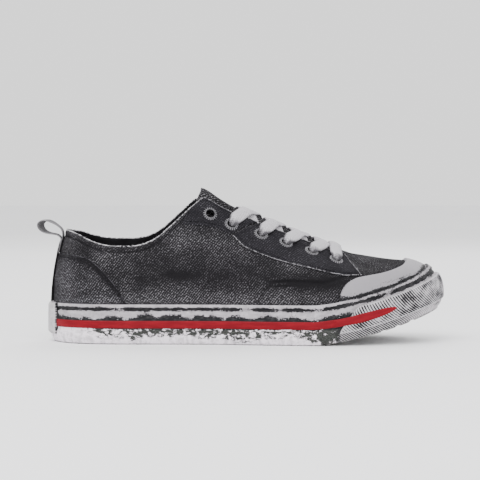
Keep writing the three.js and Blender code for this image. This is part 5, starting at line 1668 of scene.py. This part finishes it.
def buildLoop():
    collar = lastPoint(0.0, edgeClimb(np.array([0.0]))[0])

    def alongBack(drop, out):
        climb = climbToHeight(0.0, collar[2] - drop)
        return lastPoint(0.0, climb) + lastNormal(0.0, climb) * out
    underOut = 0.3 + 0.5
    outerOut = underOut + 0.3 + 1
    seamOut = overlays["outside"] + 0.65
    seamLength = float(collar[2] - foxingTopAt(0)) - 0.4
    points = [alongBack(drop, seamOut) for drop in np.linspace(seamLength, 21, 6)]
    points += [alongBack(16, outerOut), alongBack(10.5, outerOut)]
    points += [np.array([collar[0] + a, 0, collar[2] + b]) for a, b in loop["places"]]
    points += [alongBack(drop, underOut) for drop in (5.5, 10, 14.5, 17.4)]
    line = softCurve(points, 220)
    length = arcLength(line)
    along = unit(np.gradient(line, axis=0))
    yaw = loop["yaw"] * smooth(collar[0] - line[:, 0], 5, 16)
    side = np.stack([np.sin(yaw), np.cos(yaw), 0 * yaw], -1)
    face = unit(np.cross(side, along))
    sewn = 1 - smooth(length, seamLength - 16, seamLength - 8)
    half = mix(loop["width"], loop["stayWidth"], sewn) / 2
    angle = np.linspace(0, 2 * math.pi, 24, endpoint=False)
    across = np.sign(np.cos(angle)) * np.abs(np.cos(angle)) ** 0.55
    thick = np.sign(np.sin(angle)) * np.abs(np.sin(angle)) ** 0.7
    curl = 0.35 * (across ** 2)[None, :] * (1 - sewn)[:, None]
    profile = (line[:, None] + side[:, None] * (across[None, :] * half[:, None])[..., None]
               + face[:, None] * (thick[None, :] * loop["wall"] / 2 + curl)[..., None])
    uv = np.stack([length[:, None] + 0 * across, across[None, :] * half[:, None]], -1)
    fade = 0.62 - 0.5 * sewn - 0.2 * smooth(length, length[-1] - 20, length[-1] - 8)
    fade = fade[:, None] + 0.24 * (1 - sewn[:, None]) * np.abs(across[None, :]) ** 4
    print("scene: pull loop strip, in mm", round(float(length[-1])))
    return barMesh("pull_loop_webbing", webbingMaterial(), [profile], [uv], [{"fade": fade}], 75)


pullLoop = buildLoop()


# Seams: lines that stitches, frayed cords and loose fibres follow

seams = {
    "stitchPitch": 3.0,
    "stitchLength": 2.3,
    "threadSize": 0.32,
    "cordRadius": 0.31,
    "collarCord": 0.42,
    "counterCord": 0.22,
    "fibreLength": 1.5,
    "fibresPerMetre": 2600.0,
}


def seamLine(spots, aside, out):
    # a line over the upper, set a little aside from the spots, up (+) or down (-)
    turns, climbs = together(*spots)
    return onUpper(turns, walk(turns, climbs, aside), out)


collarTurns = np.concatenate([np.linspace(turnAt(np.array([118.0]), False)[0] - 1, 0, 160, endpoint=False),
                              np.linspace(0, turnAt(np.array([116.0]), True)[0], 160)])
collarSpots = collarTurns, edgeClimb(collarTurns)
collarLine = seamLine(collarSpots, 0, -0.75)
collarLine[:, 2] += 0.25

cordLines, throatLines = [], []
stitchLines = [seamLine(collarSpots, -upper["collarGroove"], -0.4)]
for lateral in (True, False):
    low = np.linspace(facingSeam[0][0] + 0.4, facingSeam[-1][0], 120)
    lowSpots = seenAt(low, facingSeamHeightAt(low), lateral)
    cordLines.append(seamLine(lowSpots, 0.3, 1.1))
    stitchLines.append(seamLine(lowSpots, stitchInset, 1.2))
    for places in (np.linspace(facingBack, shoe["throatEnd"] - 0.8, 100),
                   np.linspace(topFacingStart, facingBack - 1.5, 60)):
        throatSpots = edgeSpot(places, lateral)
        throatLines.append(seamLine(throatSpots, -0.2, 0.8))
        stitchLines.append(seamLine(throatSpots, -stitchInset, 1.2))
    topLow = np.linspace(0.338 * soleLength, facingSeam[0][0] - 1.5, 50)
    stitchLines.append(seamLine(seenAt(topLow, topSeamHeightAt(topLow), lateral), stitchInset, 1.2))
    front = seenAt(facingSeam[-1:, 0], facingSeamHeightAt(facingSeam[-1:, 0]), lateral)
    back = edgeSpot(np.array([221.2]), lateral)
    steps = np.linspace(0.03, 0.97, 60)
    cordLines.append(seamLine([mix(a, b, steps) for a, b in zip(front, back)], 0, 1.0))
counterSpots = counterTurns, counterHigh
counterEdge = seamLine(counterSpots, 0.25, 0.75)
stitchLines += [seamLine(counterSpots, -stitchInset, 1.2), seamLine(counterSpots, -4.6, 1.3)]


def threadMaterial(name, dark, light):
    # twisted cotton thread, dirty in places
    material, node = newMaterial(name, 0.85, 0.05)
    place = node("object")
    patches = noise(node, place, 90, 2, 0.6)
    specks = noise(node, place, 620, 2, 0.7)
    speckled = node("ramp", specks, 0.42, 0.58, 0.0, 0.75)
    level = node("ADD", node("ramp", patches, 0.3, 0.7, -0.1, 0.35), speckled, use_clamp=True)
    return finished(material, node("blend", level, dark, light), specks, 0.0002, 0.6)


darkThread = threadMaterial("black cotton thread", "#0c0b0d", "#2e2d31")
paleThread = threadMaterial("frayed cotton edge", "#29282b", "#c4c2c5")
greyThread = threadMaterial("grey frayed seam", "#121113", "#8a888c")
dullThread = threadMaterial("dull frayed seam", "#0f0e10", "#4f4d52")


def stitchTree():
    # a small ball stretched along the seam for each stitch
    node, given = newTree("stitches along seams", [
        ("Pitch", "Float", 0.003), ("Length", "Float", 0.0023),
        ("Thickness", "Float", 0.0004), ("Seed", "Int", 1), ("Material", "Material", None)])
    spots = node("spaced", node("curve", given["Geometry"]), given["Pitch"])
    turned = node("facing", node("tangent"), axis="X")
    size = node("joined", given["Length"], given["Thickness"], given["Thickness"])
    size = node("scaled", size, node("anyNumber", 0.85, 1.1, given["Seed"]))
    return endTree(node("copies", spots, node("ball", 7, 5, 0.5), turned, size), given)


def cordTree():
    # an uneven, frayed cord along each line
    node, given = newTree("frayed cords", [
        ("Radius", "Float", 0.0005), ("Roughness", "Float", 0.5), ("Seed", "Float", 0.0),
        ("Material", "Material", None)])
    spaced = node("spaced", node("curve", given["Geometry"]), 0.0005)
    swing = node("less", node("wobble", node("position"), given["Seed"], 650.0, 2.0), (0.5, 0.5, 0.5))
    reach = node("MULTIPLY", given["Radius"], node("MULTIPLY", given["Roughness"], 2.4))
    moved = node("moved", spaced, node("scaled", swing, reach))
    return endTree(node("tube", moved, node("circle", 7, given["Radius"]), True), given)


def fibreTree():
    # short loose fibres standing off a cut edge, turned at random
    node, given = newTree("loose fibres", [
        ("Per metre", "Float", 2000.0), ("Length", "Float", 0.0015), ("Seed", "Int", 4),
        ("Material", "Material", None)])
    pitch = node("DIVIDE", 1.0, given["Per metre"])
    spots = node("spaced", node("curve", given["Geometry"]), pitch)
    turned = node("anyVector", (-3.1, -3.1, -3.1), (3.1, 3.1, 3.1), given["Seed"])
    size = node("MULTIPLY", given["Length"], node("anyNumber", 0.35, 1.0, given["Seed"]))
    return endTree(node("copies", spots, node("spike", 3, 0.02, 0.07, 1.0), turned, size), given)


stitchNodes, cordNodes, fibreNodes = stitchTree(), cordTree(), fibreTree()
stitches = runTree("seam_stitches", stitchNodes, lineObject("stitch_lines", stitchLines), {
    "Pitch": seams["stitchPitch"] / 1000, "Length": seams["stitchLength"] / 1000,
    "Thickness": 2 * seams["threadSize"] / 1000, "Seed": 1, "Material": darkThread})
collarCord = runTree("collar_frayed_edge", cordNodes, lineObject("collar_line", [collarLine]), {
    "Radius": seams["collarCord"] / 1000, "Roughness": 1.1, "Seed": 2.0, "Material": paleThread})
seamCords = runTree("seam_frayed_edges", cordNodes, lineObject("cord_lines", cordLines + throatLines), {
    "Radius": seams["cordRadius"] / 1000, "Roughness": 0.9, "Seed": 5.0, "Material": greyThread})
counterCord = runTree("counter_frayed_edge", cordNodes, lineObject("counter_line", [counterEdge]), {
    "Radius": seams["counterCord"] / 1000, "Roughness": 1.2, "Seed": 7.0, "Material": dullThread})
edgeLines = lineObject("fibre_lines", [collarLine] + cordLines + throatLines)
fibres = runTree("edge_fibres", fibreNodes, edgeLines, {
    "Per metre": seams["fibresPerMetre"], "Length": seams["fibreLength"] / 1000, "Seed": 4,
    "Material": paleThread})
print("scene: stitches and frayed edges", len(stitches.data.polygons), len(fibres.data.polygons))


# What each piece rides on and stands for

def settle(thing, slot, *nodes):
    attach(thing, "root")
    if nodes:
        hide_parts(*nodes)


settle(upperCanvas, "canvas", "upper")
for piece, node in sewnPieces:
    settle(piece, "canvas_counter" if node == "counter" else "canvas_facing", node)
settle(toeCap, "toe_cap_rubber", "toe_cap")
settle(foxing, "foxing_rubber", "foxing")
settle(bumper, "bumper_rubber", "toe_bumper")
for piece, node in stripePieces:
    settle(piece, "red_rubber", node)
settle(heelPatch, "heel_patch_rubber", "heel_patch")
settle(outsole, "outsole_rubber", "outsole")
settle(insole, "insole_fabric", "insole")
settle(tongue, "canvas_tongue", "tongue")
eyeletNodes = [f"eyelet_{side}_{k}" for side in ("lateral", "medial") for k in range(1, 7)]
settle(eyelets, "eyelet_metal", *eyeletNodes)
settle(laces, "lace_cotton", "lace")
settle(pullLoop, "webbing", "pull_loop")
settle(stitches, "canvas")
settle(collarCord, "canvas")
settle(seamCords, "canvas_facing")
settle(counterCord, "canvas_counter")
settle(fibres, "canvas")


# Studio: pale floor, broad soft lights, the photograph's camera

studio = {
    "floorColour": "#fafafb",
    "keyPower": 34.0,
    "frontPower": 14.0,
    "rimPower": 14.0,
    "sky": 1.5,
    "cameraPlace": (-0.0009, -1.3025, 0.122),
    "cameraTilt": 88.0,  # degrees from straight down
    "lens": 127.8,
}


def floorMaterial():
    material, node = newMaterial("pale studio floor", 0.8)
    place = node("object")
    soft = noise(node, place, 3, 2)
    return finished(material, node("blend", soft, studio["floorColour"], "#f4f4f6"))


def buildStudio():
    bpy.ops.mesh.primitive_plane_add(size=14, location=(0, 0, 0))
    floor = bpy.context.object
    floor.name = "floor"
    floor.data.materials.append(floorMaterial())
    for name, power, size, place in (
        ("key", studio["keyPower"], 1.6, (-0.5, -0.9, 1.6)),
        ("front", studio["frontPower"], 1.8, (0.6, -1.9, 0.7)),
        ("rim", studio["rimPower"], 1.4, (0.3, 1.3, 1.3)),
    ):
        light = bpy.data.lights.new(name, "AREA")
        light.energy = power
        light.size = size
        lamp = bpy.data.objects.new(name, light)
        lamp.location = place
        lamp.rotation_euler = (Vector((0, 0, 0.05)) - Vector(place)).to_track_quat("-Z", "Y").to_euler()
        bpy.context.collection.objects.link(lamp)
    world = bpy.data.worlds.new("studio")
    bpy.context.scene.world = world
    world.use_nodes = True
    world.node_tree.nodes["Background"].inputs["Color"].default_value = (1, 1, 1, 1)
    world.node_tree.nodes["Background"].inputs["Strength"].default_value = studio["sky"]
    camera = bpy.data.cameras.new("photo camera")
    camera.lens = studio["lens"]
    camera.sensor_width = 36
    camera.dof.use_dof = False
    eye = bpy.data.objects.new("photo camera", camera)
    eye.location = studio["cameraPlace"]
    eye.rotation_euler = (math.radians(studio["cameraTilt"]), 0, 0)
    bpy.context.collection.objects.link(eye)
    bpy.context.scene.camera = eye


buildStudio()
print("scene: studio")
